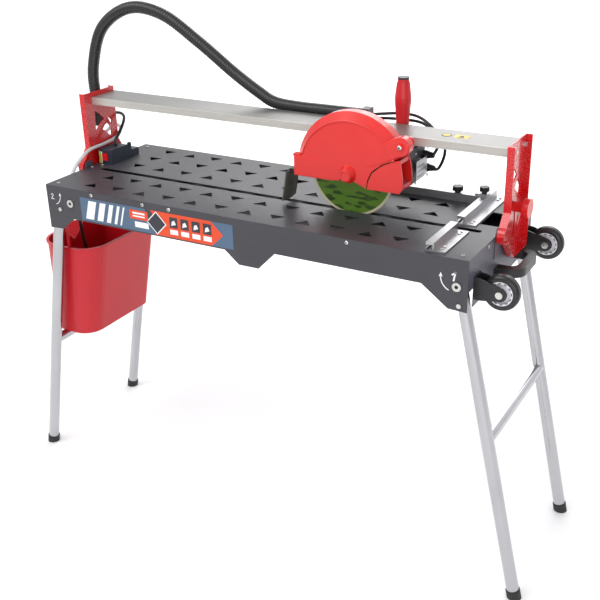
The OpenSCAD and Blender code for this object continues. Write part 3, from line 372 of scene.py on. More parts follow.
def make_materials():
    """Every material, by the short name that PAINT and the details use."""
    m = {}
    m["powder"] = plain("powder_coat", (0.034, 0.033, 0.040), 0.40, vary=0.10, grain=1500,
                        depth=0.10, worn=0.5)
    m["powder_end"] = plain("powder_coat_end", (0.070, 0.067, 0.088), 0.40, vary=0.08, grain=1500,
                            depth=0.10, worn=0.4)
    m["zinc"] = plain("zinc_plate", (0.62, 0.61, 0.58), 0.28, metal=1.0, grain=420, depth=0.06)
    m["chrome"] = plain("chromed_tube", (0.50, 0.50, 0.52), 0.11, metal=1.0, vary=0.05, grain=25,
                        depth=0.015, stretch=(1, 1, 0.05))
    m["rail"] = rail_metal()
    m["fence"] = aluminium("fence_aluminium", (0.47, 0.475, 0.49), 0.34, along=(60, 1, 60))
    m["bar"] = aluminium("bar_aluminium", (0.46, 0.465, 0.48), 0.34)
    m["red"] = plain("red_enamel", (0.60, 0.003, 0.006), 0.26, vary=0.05, grain=260, depth=0.012,
                     coat=0.5)
    m["red_cover"] = plain("red_cover", (0.70, 0.014, 0.011), 0.33, vary=0.05, grain=200,
                           depth=0.03, coat=0.35)
    m["red_knob"] = plain("red_knob", (0.66, 0.006, 0.008), 0.32, vary=0.06, grain=500, depth=0.06,
                          coat=0.2)
    m["bucket"] = plain("bucket_plastic", (0.50, 0.004, 0.012), 0.36, vary=0.08, grain=340,
                        depth=0.05, blotch=4)
    m["black"] = plain("black_plastic", (0.014, 0.014, 0.016), 0.38, vary=0.2, grain=800,
                       depth=0.10)
    m["soft_black"] = plain("soft_black", (0.018, 0.018, 0.019), 0.62, vary=0.2, grain=500,
                            depth=0.15)
    m["navy"] = plain("navy_plastic", (0.018, 0.023, 0.040), 0.42, vary=0.12, grain=700, depth=0.08)
    m["tyre"] = plain("tyre_rubber", (0.012, 0.012, 0.013), 0.30, vary=0.2, grain=420, depth=0.08)
    m["hub"] = plain("hub_plastic", (0.72, 0.72, 0.76), 0.34, vary=0.06, grain=300, depth=0.05)
    m["motor"] = plain("motor_enamel", (0.050, 0.047, 0.060), 0.42, vary=0.10, grain=520,
                       depth=0.16, worn=0.3)
    m["steel"] = plain("turned_steel", (0.52, 0.52, 0.54), 0.26, metal=1.0, grain=240, depth=0.05)
    m["nylon"] = plain("nylon", (0.035, 0.035, 0.04), 0.5, grain=400, depth=0.05)
    m["blade"] = green_blade()
    m["flap"] = plain("flap_rubber", (0.075, 0.072, 0.058), 0.55, vary=0.18, grain=300, depth=0.25,
                      blotch=30)
    cap_z = grip_hi.z - 0.0045
    m["grip"] = two_tone("grip_plastic", (0.58, 0.010, 0.016), (0.016, 0.016, 0.018), cap_z)
    m["conduit"] = plain("conduit_plastic", (0.013, 0.013, 0.014), 0.30, vary=0.2, grain=300,
                         depth=0.06)
    m["sheath"] = plain("cable_sheath", (0.012, 0.012, 0.013), 0.36, vary=0.2, grain=500,
                        depth=0.08)
    m["clear"] = clear_vinyl()
    m["foil"] = plain("rating_plate", (0.60, 0.62, 0.66), 0.35, metal=0.3, grain=200, depth=0.02)
    m["ink"] = plain("ink", (0.03, 0.03, 0.04), 0.5, grain=200, depth=0.02)
    m["white"] = plain("white_print", (0.80, 0.81, 0.82), 0.38, vary=0.03, grain=200, depth=0.02)
    m["slate"] = plain("slate_print", (0.070, 0.125, 0.200), 0.36, vary=0.06, grain=200, depth=0.02)
    m["orange"] = plain("orange_print", (0.70, 0.060, 0.010), 0.36, vary=0.05, grain=200,
                        depth=0.02)
    m["yellow"] = plain("yellow_print", (0.75, 0.52, 0.03), 0.4, vary=0.05, grain=200, depth=0.02)
    m["lead_green"] = plain("earth_green", (0.10, 0.42, 0.05), 0.4, grain=300, depth=0.05)
    # near black: painted shade for the insides of holes, slots and sockets, laid on as thin sheets and
    # blocks
    m["recess_shade"] = plain("recess_shade", (0.006, 0.006, 0.007), 0.8, grain=300, depth=0.05)
    return m


PAINT = {
    "powder": ["front_apron", "rear_apron", "front_deck", "rear_deck", "water_tray"],
    "powder_end": ["left_end_panel", "right_end_panel", "tilt_bracket"],
    "zinc": ["deck_screws", "pivot_bolts", "bucket_hanger", "wheel_axles", "tilt_bolts", "rail_bolts",
             "left_pivot_plates"],
    "chrome": ["left_front_leg", "left_rear_leg", "left_crossbar", "right_front_leg", "right_rear_leg",
               "right_crossbar"],
    "rail": ["rail"],
    "fence": ["front_fence", "rear_fence"],
    "bar": ["guide_bar"],
    "red": ["left_support", "right_support"],
    "red_cover": ["guard_back", "guard_cover"],
    "red_knob": ["tilt_clamp_knob", "power_switch"],
    "bucket": ["bucket"],
    "black": ["carry_handle", "wheel_brackets", "guide_knob", "stop_knob", "conduit_socket",
              "water_pump"],
    "soft_black": ["left_feet", "right_feet"],
    "navy": ["electrical_box"],
    "tyre": ["front_tyre", "rear_tyre"],
    "hub": ["front_hub", "rear_hub"],
    "motor": ["carriage", "motor_housing", "motor_end_cap", "terminal_box"],
    "steel": ["rotor"],
    "nylon": ["left_rollers", "right_rollers"],
    "blade": ["blade"],
    "flap": ["splash_flap"],
    "grip": ["handle_grip"],
    "conduit": ["conduit"],
    "sheath": ["feed_cable", "head_cables", "pump_hose"],
    "clear": ["feed_hose"],
}

# edge rounding of the CAD pieces, in metres; a piece not named here keeps the usual size
EDGE = {"bucket": 0.0016, "carry_handle": 0.005, "guard_back": 0.005, "guard_cover": 0.005,
        "rail": 0.0012, "left_support": 0.0012, "right_support": 0.0012,
        "electrical_box": 0.003, "terminal_box": 0.003,
        "carriage": 0.002, "motor_housing": 0.002, "motor_end_cap": 0.003, "water_pump": 0.004,
        "tilt_clamp_knob": 0.003, "front_deck": 0.0004, "rear_deck": 0.0004, "handle_grip": 0.0015,
        "front_tyre": 0, "rear_tyre": 0, "blade": 0.0003}


def round_edges(obj, width, segments):
    bevel = obj.modifiers.new("edge", "BEVEL")
    bevel.width = width
    bevel.segments = segments
    bevel.limit_method = "ANGLE"
    bevel.angle_limit = SHARP_EDGE


def paint_cad(m):
    """Gives each CAD piece its material and its rounded edges."""
    for key, names in PAINT.items():
        for name in names:
            node = frame["nodes"][name]
            node.data.materials.clear()
            node.data.materials.append(m[key])
            width = EDGE.get(name, EDGE_WIDTH)
            if width:
                round_edges(node, width, 3 if width > 0.001 else 2)


# ---------------------------------------------------------------- building blocks

def add_piece(name, verts, faces, material, body, smooth=False, edge=0.0):
    """A mesh as a piece of its own, which rides on body if one is given."""
    mesh = bpy.data.meshes.new(name)
    mesh.from_pydata([tuple(v) for v in verts], [], faces)
    mesh.materials.append(material)
    if smooth:
        for p in mesh.polygons:
            p.use_smooth = True
    obj = bpy.data.objects.new(name, mesh)
    bpy.context.scene.collection.objects.link(obj)
    if edge:
        round_edges(obj, edge, 2)
    if body:
        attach(obj, body)
    return obj


def block(name, lo, hi, material, body, edge=EDGE_WIDTH):
    """A box from its low corner to its high one."""
    lo, hi = Vector(lo), Vector(hi)
    verts = [(x, y, z) for x in (lo.x, hi.x) for y in (lo.y, hi.y) for z in (lo.z, hi.z)]
    faces = [(0, 1, 3, 2), (4, 6, 7, 5), (0, 4, 5, 1), (2, 3, 7, 6), (0, 2, 6, 4), (1, 5, 7, 3)]
    return add_piece(name, verts, faces, material, body, edge=edge)


def across(axis):
    """Two directions square to axis, so that they and axis are right-handed."""
    axis = Vector(axis).normalized()
    helper = Vector((0, 0, 1)) if abs(axis.z) < 0.9 else Vector((1, 0, 0))
    u = helper.cross(axis).normalized()
    return u, axis.cross(u)


def turned(name, centre, axis, profile, material, body, sides=32):
    """A solid of revolution: profile is (distance along axis, radius) from one end to the other."""
    axis = Vector(axis).normalized()
    u, v = across(axis)
    verts, faces = [], []
    for along, r in profile:
        for k in range(sides):
            a = 2 * math.pi * k / sides
            verts.append(Vector(centre) + axis * along + (u * math.cos(a) + v * math.sin(a)) * r)
    for i in range(len(profile) - 1):
        for k in range(sides):
            j = (k + 1) % sides
            faces.append((i * sides + k, i * sides + j, (i + 1) * sides + j, (i + 1) * sides + k))
    faces.append(tuple(range(sides - 1, -1, -1)))
    faces.append(tuple((len(profile) - 1) * sides + k for k in range(sides)))
    smooth_sides(add_piece(name, verts, faces, material, body))


def smooth_sides(obj):
    obj.data.polygons.foreach_set("use_smooth", [True] * len(obj.data.polygons))
    obj.data.set_sharp_from_angle(angle=SHARP_SIDE)


def flat_shape(name, outline, origin, u, v, depth, material, body, edge=0.0):
    """A thin plate: outline is in the directions u and v from origin, and it rises depth along u x v."""
    u, v = Vector(u), Vector(v)
    rise = u.cross(v).normalized() * depth
    low = [Vector(origin) + u * a + v * b for a, b in outline]
    n = len(low)
    verts = low + [p + rise for p in low]
    faces = [tuple(range(n - 1, -1, -1)), tuple(range(n, 2 * n))]
    faces += [(i, (i + 1) % n, n + (i + 1) % n, n + i) for i in range(n)]
    return add_piece(name, verts, faces, material, body, edge=edge)


def ring_outline(r):
    """A disc's outline, with 24 sides."""
    angles = [2 * math.pi * k / 24 for k in range(24)]
    return [(r * math.cos(a), r * math.sin(a)) for a in angles]


def arc_band(r0, r1, a0, a1, steps=14):
    """A band between two radii and two angles in degrees, as an outline."""
    angles = [math.radians(a0 + (a1 - a0) * k / steps) for k in range(steps + 1)]
    outer = [(r1 * math.cos(a), r1 * math.sin(a)) for a in angles]
    inner = [(r0 * math.cos(a), r0 * math.sin(a)) for a in reversed(angles)]
    return outer + inner


def smooth_route(route, steps):
    """Points on the smooth curve through a route, steps to each stretch."""
    out = []
    last = len(route) - 1
    for i in range(last):
        a, b, c, d = (Vector(route[k]) for k in (max(i - 1, 0), i, i + 1, min(i + 2, last)))
        for j in range(steps):
            t = j / steps
            out.append(0.5 * ((2 * b) + (c - a) * t + (2 * a - 5 * b + 4 * c - d) * t * t
                              + (3 * b - a - 3 * c + d) * t * t * t))
    out.append(Vector(route[-1]))
    return out


def evenly(points, gap):
    """The same line with its points gap apart."""
    lengths = [0.0]
    for a, b in zip(points, points[1:]):
        lengths.append(lengths[-1] + (b - a).length)
    count = max(2, round(lengths[-1] / gap))
    out, i = [], 0
    for k in range(count + 1):
        want = lengths[-1] * k / count
        while i < len(points) - 2 and lengths[i + 1] < want:
            i += 1
        span = lengths[i + 1] - lengths[i]
        out.append(points[i].lerp(points[i + 1], (want - lengths[i]) / span if span else 0.0))
    return out


def tube(name, points, radius, material, body, sides=16):
    """A round tube along points; radius is a number or a function of the point's number."""
    grow = radius if callable(radius) else (lambda i: radius)
    verts, faces = [], []
    u = None
    for i, p in enumerate(points):
        t = (points[min(i + 1, len(points) - 1)] - points[max(i - 1, 0)]).normalized()
        u = across(t)[0] if u is None else (u - t * u.dot(t)).normalized()
        v = t.cross(u)
        for k in range(sides):
            a = 2 * math.pi * k / sides
            verts.append(p + (u * math.cos(a) + v * math.sin(a)) * grow(i))
    for i in range(len(points) - 1):
        for k in range(sides):
            j = (k + 1) % sides
            faces.append((i * sides + k, i * sides + j, (i + 1) * sides + j, (i + 1) * sides + k))
    faces.append(tuple(range(sides - 1, -1, -1)))
    faces.append(tuple((len(points) - 1) * sides + k for k in range(sides)))
    return add_piece(name, verts, faces, material, body, smooth=True)


# ---------------------------------------------------------------- cords and hoses


def make_cords(m):
    """The conduit, the hoses and the leads, along the same routes as in CAD."""
    sx = socket_lo.x + 0.018
    sy, sz = 0.045, socket_hi.z
    top = rail_hi.z
    cy, cz = rail_hi.y + 0.017, rail_lo.z + 0.024
    clamp_x = BLADE.x - 0.048
    route = [
        (sx, sy, sz), (sx, sy, sz + 0.020), (sx, sy, sz + 0.050), (sx + 0.002, sy + 0.002, top + 0.070),
        (sx + 0.035, sy + 0.012, top + 0.165), (sx + 0.118, sy + 0.022, top + 0.217),
        (sx + 0.210, sy + 0.035, top + 0.205), (sx + 0.305, sy + 0.048, top + 0.143),
        (sx + 0.394, sy + 0.060, top + 0.075), (sx + 0.462, cy - 0.004, top + 0.033),
        (sx + 0.505, cy - 0.002, top + 0.012), (sx + 0.570, cy, cz),
        (clamp_x - 0.080, cy, cz), (clamp_x, cy, cz),
    ]
    line = evenly(smooth_route(route, 12), 0.0016)
    ribs = lambda i: 0.0144 + 0.0006 * math.cos(2 * math.pi * i / 4)
    conduit = tube("ribbed_conduit", line, ribs, m["conduit"], None, sides=28)
    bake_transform(conduit)
    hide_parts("conduit")

    x, z = elec_lo.x + 0.021, elec_hi.z
    back_y = rail_hi.y - 0.002
    route = [
        (x, 0.046, z), (x, 0.046, z + 0.014),
        (x - 0.001, 0.076, z + 0.040), (x - 0.010, 0.101, z + 0.060),
        (x - 0.027, back_y + 0.019, z + 0.067), (sx + 0.005, back_y + 0.019, z + 0.068),
        (sx - 0.007, back_y + 0.009, sz - 0.010), (sx - 0.005, back_y - 0.006, sz - 0.013),
        (sx, sy + 0.030, sz - 0.013), (sx, sy + 0.021, sz - 0.013),
    ]
    line = evenly(smooth_route(route, 12), TUBE_GAP)
    lead = tube("feed_lead", line, 0.004, m["sheath"], None)
    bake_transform(lead)
    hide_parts("feed_cable")

    hose_y = -0.100
    route = [
        (LEFT - 0.007, hose_y, TOP - 0.045), (LEFT - 0.007, hose_y, TOP - 0.025),
        (LEFT - 0.004, -0.090, TOP + 0.005), (LEFT + 0.003, -0.066, TOP + 0.030),
        (LEFT + 0.004, -0.030, TOP + 0.044), (LEFT + 0.004, 0.030, TOP + 0.046),
        (LEFT + 0.004, 0.078, TOP + 0.052), (LEFT - 0.001, back_y + 0.008, TOP + 0.066),
        (LEFT - 0.014, back_y + 0.013, TOP + 0.075), (LEFT - 0.027, back_y + 0.004, TOP + 0.074),
        (sx - 0.003, back_y - 0.016, TOP + 0.064), (sx - 0.001, sy + 0.006, TOP + 0.064),
        (sx, sy, TOP + 0.076), (sx, sy, sz - 0.025),
    ]
    line = evenly(smooth_route(route, 12), TUBE_GAP)
    hose = tube("water_hose", line, 0.0045, m["clear"], None)
    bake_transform(hose)
    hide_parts("feed_hose")

    px = (pump_lo.x + pump_hi.x) / 2
    py = pump_lo.y + 0.036
    pz = pump_hi.z
    rim = bucket_hi.z - 0.098
    route = [
        (px, py, pz), (px, py, pz + 0.008), (px, py, pz + 0.018),
        (px, py - 0.016, rim - 0.100), (px + 0.002, py - 0.040, rim - 0.020),
        (LEFT - 0.008, py - 0.060, TOP - 0.110), (LEFT - 0.007, hose_y, TOP - 0.066),
        (LEFT - 0.007, hose_y, TOP - 0.055), (LEFT - 0.007, hose_y, TOP - 0.045),
    ]
    line = evenly(smooth_route(route, 14), TUBE_GAP)
    hose = tube("pump_riser", line, 0.0045, m["sheath"], None)
    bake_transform(hose)
    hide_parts("pump_hose")

    x0, x1, gx = clamp_x + 0.020, BLADE.x + 0.127, BLADE.x + 0.051
    glands = [(0.083, BLADE.z + 0.022), (0.089, BLADE.z - 0.009)]
    routes = [
        [(x0, cy - 0.007, cz + 0.004), (x0 + 0.014, cy - 0.004, cz + 0.006),
         (gx - 0.010, cy + 0.026, cz + 0.006), (gx + 0.040, cy + 0.020, cz),
         (x1 + 0.014, cy - 0.004, rail_lo.z - 0.005),
         (x1 + 0.016, glands[0][0], glands[0][1] + 0.006), (x1, glands[0][0], glands[0][1])],
        [(x0, cy + 0.007, cz - 0.006), (x0 + 0.014, cy + 0.010, cz - 0.006),
         (gx - 0.010, cy + 0.027, cz - 0.008), (gx + 0.045, cy + 0.026, cz - 0.014),
         (x1 + 0.022, cy + 0.012, rail_lo.z - 0.030),
         (x1 + 0.022, glands[1][0] + 0.006, glands[1][1]), (x1, glands[1][0], glands[1][1])],
    ]
    for k, route in enumerate(routes):
        line = evenly(smooth_route(route, 12), TUBE_GAP)
        lead = tube(f"motor_lead_{k + 1}", line, 0.0035, m["sheath"], "head")
        if k == 0:
            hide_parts("head_cables")
        g = glands[k]
        rings = [(-0.009, 0.0098), (-0.001, 0.0098), (0.0, 0.0086)]
        for j in range(5):
            along, r = 0.003 * j, 0.0084 - 0.0006 * j
            rings += [(0.0006 + along, r), (0.0022 + along, r),
                      (0.0024 + along, r - 0.0014), (0.0034 + along, r - 0.0014)]
        turned(f"gland_sleeve_{k + 1}", (x1, *g), (1, 0, 0), rings, m["black"], "head", sides=24)


# ---------------------------------------------------------------- the details

def pan_head(name, place, axis, r, m, body, height=0.0022):
    """A screw's domed head with a cross slot, drawn as two thin near-black sheets of painted shade."""
    axis = Vector(axis).normalized()
    turned(name, place, axis, [(0, r), (height * 0.45, r), (height * 0.85, r * 0.75), (height, r * 0.4)],
           m["zinc"], body, sides=20)
    u, v = across(axis)
    w, l = r * 0.14, r * 0.5
    # the two crossing sheets are painted shade standing for the cross slot in the head
    for k, (a, b) in enumerate(((u, v), (v, -u))):
        outline = [(-l, -w), (l, -w), (l, w), (-l, w)]
        flat_shape(f"{name}_cross_{k + 1}", outline, Vector(place) + axis * (height - 0.0002), a, b,
                   INK, m["recess_shade"], body)


def screw_heads(m):
    """The screws of the side panels and the deck's corners, and the sockets in the leg pivots."""
    z = TOP - 0.008
    k = 0
    for x in (-0.406, -0.252, -0.175, 0.282):
        for s, y in ((-1, FRONT), (1, BACK)):
            k += 1
            pan_head(f"panel_screw_{k}", (x, y, z), (0, s, 0), 0.0042, m, "table", 0.0028)
    for x in (LEFT + 0.022, RIGHT - 0.022):
        for y in (FRONT + 0.022, BACK - 0.022):
            k += 1
            pan_head(f"panel_screw_{k}", (x, y, TOP), (0, 0, 1), 0.0042, m, "table", 0.0024)
    for s in (-1, 1):
        for name in ("left", "right"):
            px, _, pz = JOINT[f"{name}_leg_fold"]["pos_m"]
            y = FRONT - 0.004 if s < 0 else BACK + 0.004
            side = "front" if s < 0 else "rear"
            # a near-black hex disc: painted shade for the socket in each leg pivot
            turned(f"{name}_{side}_pivot_socket_shade", (px, y, pz), (0, s, 0),
                   [(0.0, 0.0040), (0.0004, 0.0040)], m["recess_shade"], "table", sides=6)


def numeral(name, strokes, origin, u, v, body, m, width):
    """A numeral or arrow of straight strokes, each from one point to the next."""
    for k, (a, b) in enumerate(zip(strokes, strokes[1:])):
        a, b = Vector((a[0], a[1], 0)), Vector((b[0], b[1], 0))
        d = (b - a).normalized() * width / 2
        n = Vector((-d.y, d.x, 0))
        corners = [a - d - n, b + d - n, b + d + n, a - d + n]
        flat_shape(f"{name}_{k + 1}", [(c.x, c.y) for c in corners], origin, u, v, INK,
                   m["white"], body)


def panel_marks(m):
    """The fold numbers and their curved arrows beside the leg pivots."""
    u, v = (1, 0, 0), (0, 0, 1)
    px, _, pz = JOINT["right_leg_fold"]["pos_m"]
    y = FRONT - 0.0001
    numeral("fold_mark_1", [(-0.0045, 0.003), (0.0015, 0.008), (-0.0015, -0.009)],
            (px - 0.006, y, pz + 0.021), u, v, "table", m, 0.0034)
    flat_shape("fold_arrow_1", arc_band(0.0282, 0.0304, 178, 248), (px - 0.006, y, pz + 0.0165),
               u, v, INK, m["white"], "table")
    flat_shape("fold_arrow_1_head", [(-0.0040, -0.001), (0.0042, 0.0), (-0.0002, 0.0085)],
               (px - 0.0353, y, pz + 0.0165), u, v, INK, m["white"], "table")
    px, _, pz = JOINT["left_leg_fold"]["pos_m"]
    two = [(-0.0035, 0.0045), (0.0, 0.007), (0.0035, 0.004), (-0.004, -0.006), (0.0045, -0.006)]
    numeral("fold_mark_2", two, (px - 0.058, y, pz + 0.010), u, v, "table", m, 0.0018)
    flat_shape("fold_arrow_2", arc_band(0.0226, 0.0242, -70, 4), (px - 0.0562, y, pz + 0.0134),
               u, v, INK, m["white"], "table")
    flat_shape("fold_arrow_2_head", [(-0.0034, 0.0), (0.0034, 0.0), (0.0, 0.0072)],
               (px - 0.0328, y, pz + 0.0145), u, v, INK, m["white"], "table")
    pan_head("fold_pin_2", (px - 0.037, FRONT, pz - 0.020), (0, -1, 0), 0.0032, m, "table", 0.002)


def panel_sticker(m):
    """The front panel's sticker: generic colour fields, a diamond and four plain pictograms."""
    x0, length, height = LEFT + 0.107, 0.446, 0.0585
    z0 = TOP - 0.0755
    y = FRONT - 0.0001
    u, v = (1, 0, 0), (0, 0, 1)

    def field(name, outline, key, lift):
        points = [(a * length, b * height) for a, b in outline]
        flat_shape(name, points, (x0, y - lift, z0), u, v, 0.0002, m[key], "table")

    field("sticker_slate", [(0, 0), (0.50, 0), (0.44, 1), (0, 1)], "slate", 0.0)
    def bar(name, a0, a1, b0, b1, key, lift):
        field(name, [(a0, b0), (a1, b0), (a1, b1), (a0, b1)], key, lift)

    field("sticker_orange", [(0.50, 0), (0.86, 0), (0.93, 0.5), (0.86, 1), (0.48, 1), (0.52, 0.5)],
          "orange", 0.0)
    field("sticker_end", [(0.86, 0), (0.99, 0), (0.99, 1), (0.86, 1), (0.93, 0.5)], "slate", 0.0)
    stripes = ((0.03, 0.055), (0.11, 0.040), (0.175, 0.028), (0.228, 0.018), (0.268, 0.010))
    for k, (a, w) in enumerate(stripes):
        field(f"sticker_stripe_{k + 1}",
              [(a, 0.10), (a + w, 0.10), (a + w + 0.03, 0.90), (a + 0.03, 0.90)], "white", 0.0003)
    bar("sticker_tag", 0.34, 0.46, 0.50, 0.88, "orange", 0.0005)
    bar("sticker_tag_line", 0.36, 0.44, 0.60, 0.66, "white", 0.0007)
    bar("sticker_tag_line_2", 0.36, 0.44, 0.72, 0.80, "white", 0.0007)
    bar("sticker_line", 0.37, 0.46, 0.16, 0.40, "white", 0.0003)
    for k, (r, key) in enumerate(((0.068, "white"), (0.060, "ink"))):
        flat_shape(f"sticker_diamond_{k + 1}",
                   [(-r * 0.42, 0), (0, -r * 0.42), (r * 0.42, 0), (0, r * 0.42)],
                   (x0 + 0.515 * length, y - 0.0004 - 0.0002 * k, z0 + 0.5 * height),
                   u, v, 0.0002, m[key], "table")
    for k in range(4):
        a = 0.60 + 0.07 * k
        bar(f"pictogram_{k + 1}", a, a + 0.05, 0.42, 0.86, "ink", 0.0003)
        field(f"pictogram_mark_{k + 1}",
              [(a + 0.01, 0.50), (a + 0.04, 0.58), (a + 0.03, 0.74), (a + 0.015, 0.68)],
              "white", 0.0005)
        bar(f"pictogram_base_{k + 1}", a, a + 0.05, 0.14, 0.34, "white", 0.0003)


def rail_details(m):
    """The plain yellow disc and label on the rail's top."""
    x = 0.430
    mid = (rail_lo.y + rail_hi.y) / 2
    z = rail_hi.z
    u, v = (1, 0, 0), (0, 1, 0)
    label = [(-0.016, -0.012), (0.016, -0.012), (0.016, 0.012), (-0.016, 0.012)]
    flat_shape("warning_disc", ring_outline(0.011), (x - 0.035, mid, z + 0.0001), u, v, INK,
               m["ink"], "bridge")
    flat_shape("warning_disc_face", ring_outline(0.0085), (x - 0.035, mid, z + 0.0003), u, v, INK,
               m["yellow"], "bridge")
    flat_shape("warning_label", label, (x, mid, z + 0.0001), u, v, INK, m["yellow"], "bridge")
    flat_shape("warning_triangle", [(-0.008, -0.007), (0.008, -0.007), (0, 0.008)],
               (x, mid, z + 0.0004), u, v, 0.0002, m["ink"], "bridge")


def head_details(m):
    """The terminal box's plate and lid screws, the motor's fins, and the guard's hinge screw."""
    x = box_hi.x
    lo = (x + 0.0001, box_lo.y + 0.012, box_lo.z + 0.010)
    hi = (x + 0.0007, box_lo.y + 0.070, box_hi.z - 0.026)
    block("rating_plate", lo, hi, m["foil"], "head", 0.0)
    for k in range(3):
        z = lo[2] + 0.006 + 0.011 * k
        block(f"plate_line_{k + 1}", (x + 0.0006, lo[1] + 0.004, z),
              (x + 0.0009, hi[1] - (0.006 if k % 2 else 0.018), z + 0.0014), m["ink"], "head", 0.0)
    corners = [(y, z) for y in (box_lo.y + 0.007, box_hi.y - 0.026)
               for z in (box_lo.z + 0.007, box_hi.z - 0.007)]
    for k, (y, z) in enumerate(corners):
        pan_head(f"lid_screw_{k + 1}", (x, y, z), (1, 0, 0), 0.0032, m, "head")
    r = (housing_hi.z - housing_lo.z) / 2
    for k in range(7):
        y = housing_lo.y + 0.026 + 0.011 * k
        band = arc_band(r - 0.001, r + 0.0045, 128, 292, 30)
        flat_shape(f"motor_fin_{k + 1}", band, (BLADE.x, y, BLADE.z), (1, 0, 0), (0, 0, 1), 0.003,
                   m["motor"], "head")
    px, _, pz = JOINT["guard_lift"]["pos_m"]
    pan_head("guard_hinge_screw", (px, back_lo.y, pz), (0, -1, 0), 0.0052, m, "head", 0.0030)


def cover_details(m):
    """The cover's raised rims, its arm to the hinge, its belt, its middle boss and the clip."""
    y = GUARD_FRONT
    for name, r, lift, start, count, width in (("cover_rim", BLADE_R + 0.0165, 0.0004, 20, 19, 0.0022),
                                               ("cover_edge", BLADE_R + 0.0322, 0.0205, 42, 17, 0.0020)):
        angles = [math.radians(start + 8 * k) for k in range(count)]
        route = [(BLADE.x + r * math.cos(a), y + lift, BLADE.z + r * math.sin(a)) for a in angles]
        line = evenly(smooth_route(route, 6), TUBE_GAP)
        tube(name, line, width, m["red_cover"], "cover", sides=12)
    px, _, pz = JOINT["guard_lift"]["pos_m"]
    dx, dz = px - BLADE.x, pz - BLADE.z
    end_r = 0.0205
    arm = [(0.040, 0.020), (0.060, 0.026), (0.084, 0.0355), (dx - 0.006, dz - 0.0225),
           (dx + 0.010, dz - 0.018)]
    angles = [math.radians(-45 + 20 * k) for k in range(9)]
    arm += [(dx + end_r * math.cos(a), dz + end_r * math.sin(a)) for a in angles]
    arm += [(dx - 0.030, dz + 0.011), (0.066, 0.058), (0.040, 0.046)]
    flat_shape("cover_arm", arm, (BLADE.x, y + 0.0156, BLADE.z), (1, -0.017, 0), (0, 0, 1), 0.015,
               m["red_cover"], "cover", edge=0.0016)
    left = cover_lo.x - BLADE.x
    belt = [(left + 0.001, -0.0175), (-0.020, -0.0175), (-0.020, 0.012), (-0.050, 0.0225),
            (left + 0.001, 0.0245)]
    flat_shape("cover_belt", belt, (BLADE.x, y + 0.0032, BLADE.z), (1, 0.018, 0), (0, 0, 1), 0.0028,
               m["red_cover"], "cover", edge=0.0009)
    turned("cover_boss_ring", (BLADE.x, y - 0.0118, BLADE.z), (0, -1, 0),
           [(0, 0.0125), (0.0012, 0.0125), (0.0018, 0.0118), (0.0018, 0.0098), (0.0006, 0.0090),
            (0.0006, 0.0002)],
           m["red_cover"], "cover", sides=40)
    x = cover_lo.x
    z = BLADE.z
    block("cover_clip", (x - 0.0045, y + 0.010, z + 0.002), (x + 0.001, y + 0.034, z + 0.026),
          m["black"], "cover", 0.0015)
    block("cover_clip_hook", (x - 0.006, y + 0.006, z + 0.022), (x + 0.012, y + 0.020, z + 0.0285),
          m["red_cover"], "cover", 0.0012)


def left_end_details(m):
    """The three coloured cores, the tap and the screws beside the electrical box."""
    x, y, z = elec_lo.x, elec_lo.y, TOP
    for k, (a, key) in enumerate(((0.004, "yellow"), (0.0075, "lead_green"), (0.011, "white"))):
        route = [(x + a, y + 0.004, z + 0.034 - 0.002 * k), (x + a, y - 0.0015, z + 0.030),
                 (x + a + 0.001, y - 0.002, z + 0.016), (x + a - 0.001, y - 0.002, z + 0.001)]
        line = evenly(smooth_route(route, 8), TUBE_GAP)
        tube(f"core_wire_{k + 1}", line, 0.0014, m[key], "table", sides=10)
    for k, yy in enumerate((-0.036, -0.010)):
        pan_head(f"left_end_screw_{k + 1}", (LEFT + 0.010 + 0.012 * k, yy, TOP), (0, 0, 1), 0.004,
                 m, "table", 0.0026)
    turned("mains_tap", (x + 0.021, elec_hi.y - 0.020, z + 0.018), (0, 0.3, 1),
           [(0, 0.006), (0.012, 0.006), (0.016, 0.004)], m["black"], "table")


def wheel_details(m):
    """Twelve short dark marks round each face of each hub."""
    for side in ("front", "rear"):
        lo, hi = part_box(f"{side}_hub")
        c = (lo + hi) / 2
        r = (hi.x - lo.x) / 2
        for s, y in ((-1, lo.y), (1, hi.y)):
            tag = "a" if s < 0 else "b"
            v = (0, 0, 1)
            u = (1, 0, 0) if s < 0 else (-1, 0, 0)
            for k in range(12):
                a = 30 * k
                mark = arc_band(r - 0.0040, r - 0.0022, a, a + 14, 4)
                flat_shape(f"{side}_hub_mark_{tag}_{k + 1}", mark, (c.x, y, c.z), u, v, INK,
                           m["ink"], f"{side}_wheel")


def grip_details(m):
    """Two rings round the grip's neck."""
    c = (grip_lo + grip_hi) / 2
    for k in range(2):
        turned(f"grip_ring_{k + 1}", (c.x, c.y, grip_lo.z + 0.003 + 0.006 * k), (0, 0, 1),
               [(0, 0.0150), (0.002, 0.0150)], m["grip"], "head")


def bucket_details(m):
    """The intake slots round the pump in the bucket, as near-black blocks of painted shade."""
    c = (pump_lo + pump_hi) / 2
    for k in range(6):
        a = 60 * k
        x = c.x + 0.0255 * math.cos(math.radians(a))
        y = pump_lo.y + 0.036 + 0.0255 * math.sin(math.radians(a))
        # near-black blocks: painted shade where the slots open into the pump
        block(f"pump_slot_shade_{k + 1}", (x - 0.002, y - 0.002, pump_lo.z + 0.014),
              (x + 0.002, y + 0.002, pump_lo.z + 0.034), m["recess_shade"], "bucket", 0.0)


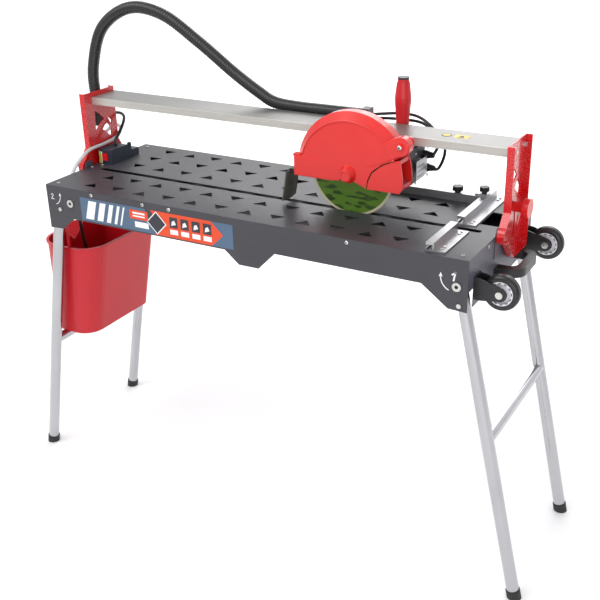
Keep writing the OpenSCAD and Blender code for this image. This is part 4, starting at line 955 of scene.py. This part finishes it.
def flap_piece(m):
    """The rubber flap: it leans out at the bottom, and flattens upward."""
    lo, hi = flap_lo, flap_hi
    width, height = 12, 14
    top = BLADE.z - 0.014
    verts = []
    for layer in range(2):
        for i in range(width + 1):
            for j in range(height + 1):
                s, t = i / width, j / height
                lean = -0.009 * (1 - t) ** 1.4 - 0.002 * (1 - t) * math.cos(2 * math.pi * s)
                half = 0.5 + 0.5 * (1 - 0.16 * t * t)
                y = (lo.y + hi.y) / 2 - 0.002 + (s - 0.5) * (hi.y - lo.y - 0.004) * half
                verts.append((lo.x + (0.0035 if layer else 0.0) + lean, y, lo.z + (top - lo.z) * t))
    cols = height + 1
    per = (width + 1) * cols
    faces = []
    for i in range(width):
        for j in range(height):
            a, b = i * cols + j, (i + 1) * cols + j
            faces.append((a, a + 1, b + 1, b))
            faces.append((per + a, per + b, per + b + 1, per + a + 1))
    rim = [(i * cols, (i + 1) * cols) for i in range(width)]
    rim += [(width * cols + j, width * cols + j + 1) for j in range(height)]
    rim += [((i + 1) * cols + height, i * cols + height) for i in range(width - 1, -1, -1)]
    rim += [(j + 1, j) for j in range(height - 1, -1, -1)]
    faces += [(a, b, per + b, per + a) for a, b in rim]
    flap = add_piece("rubber_flap", verts, faces, m["flap"], "cover")
    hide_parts("splash_flap")
    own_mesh(flap)
    y0, y1 = GUARD_FRONT + 0.008, GUARD_FRONT + 0.038
    block("flap_bracket", (lo.x + 0.003, y0, top - 0.005), (hi.x, y1, top + 0.006), m["black"],
          "cover", 0.001)
    for k, y in enumerate((y0 + 0.006, y1 - 0.006)):
        pan_head(f"flap_screw_{k + 1}", (lo.x, y, top - 0.005), (-1, 0, 0), 0.003, m, "cover")


make_camera()
MATERIALS = make_materials()
make_stage()
make_cords(MATERIALS)
paint_cad(MATERIALS)
screw_heads(MATERIALS)
panel_marks(MATERIALS)
panel_sticker(MATERIALS)
rail_details(MATERIALS)
head_details(MATERIALS)
cover_details(MATERIALS)
left_end_details(MATERIALS)
wheel_details(MATERIALS)
grip_details(MATERIALS)
bucket_details(MATERIALS)
flap_piece(MATERIALS)
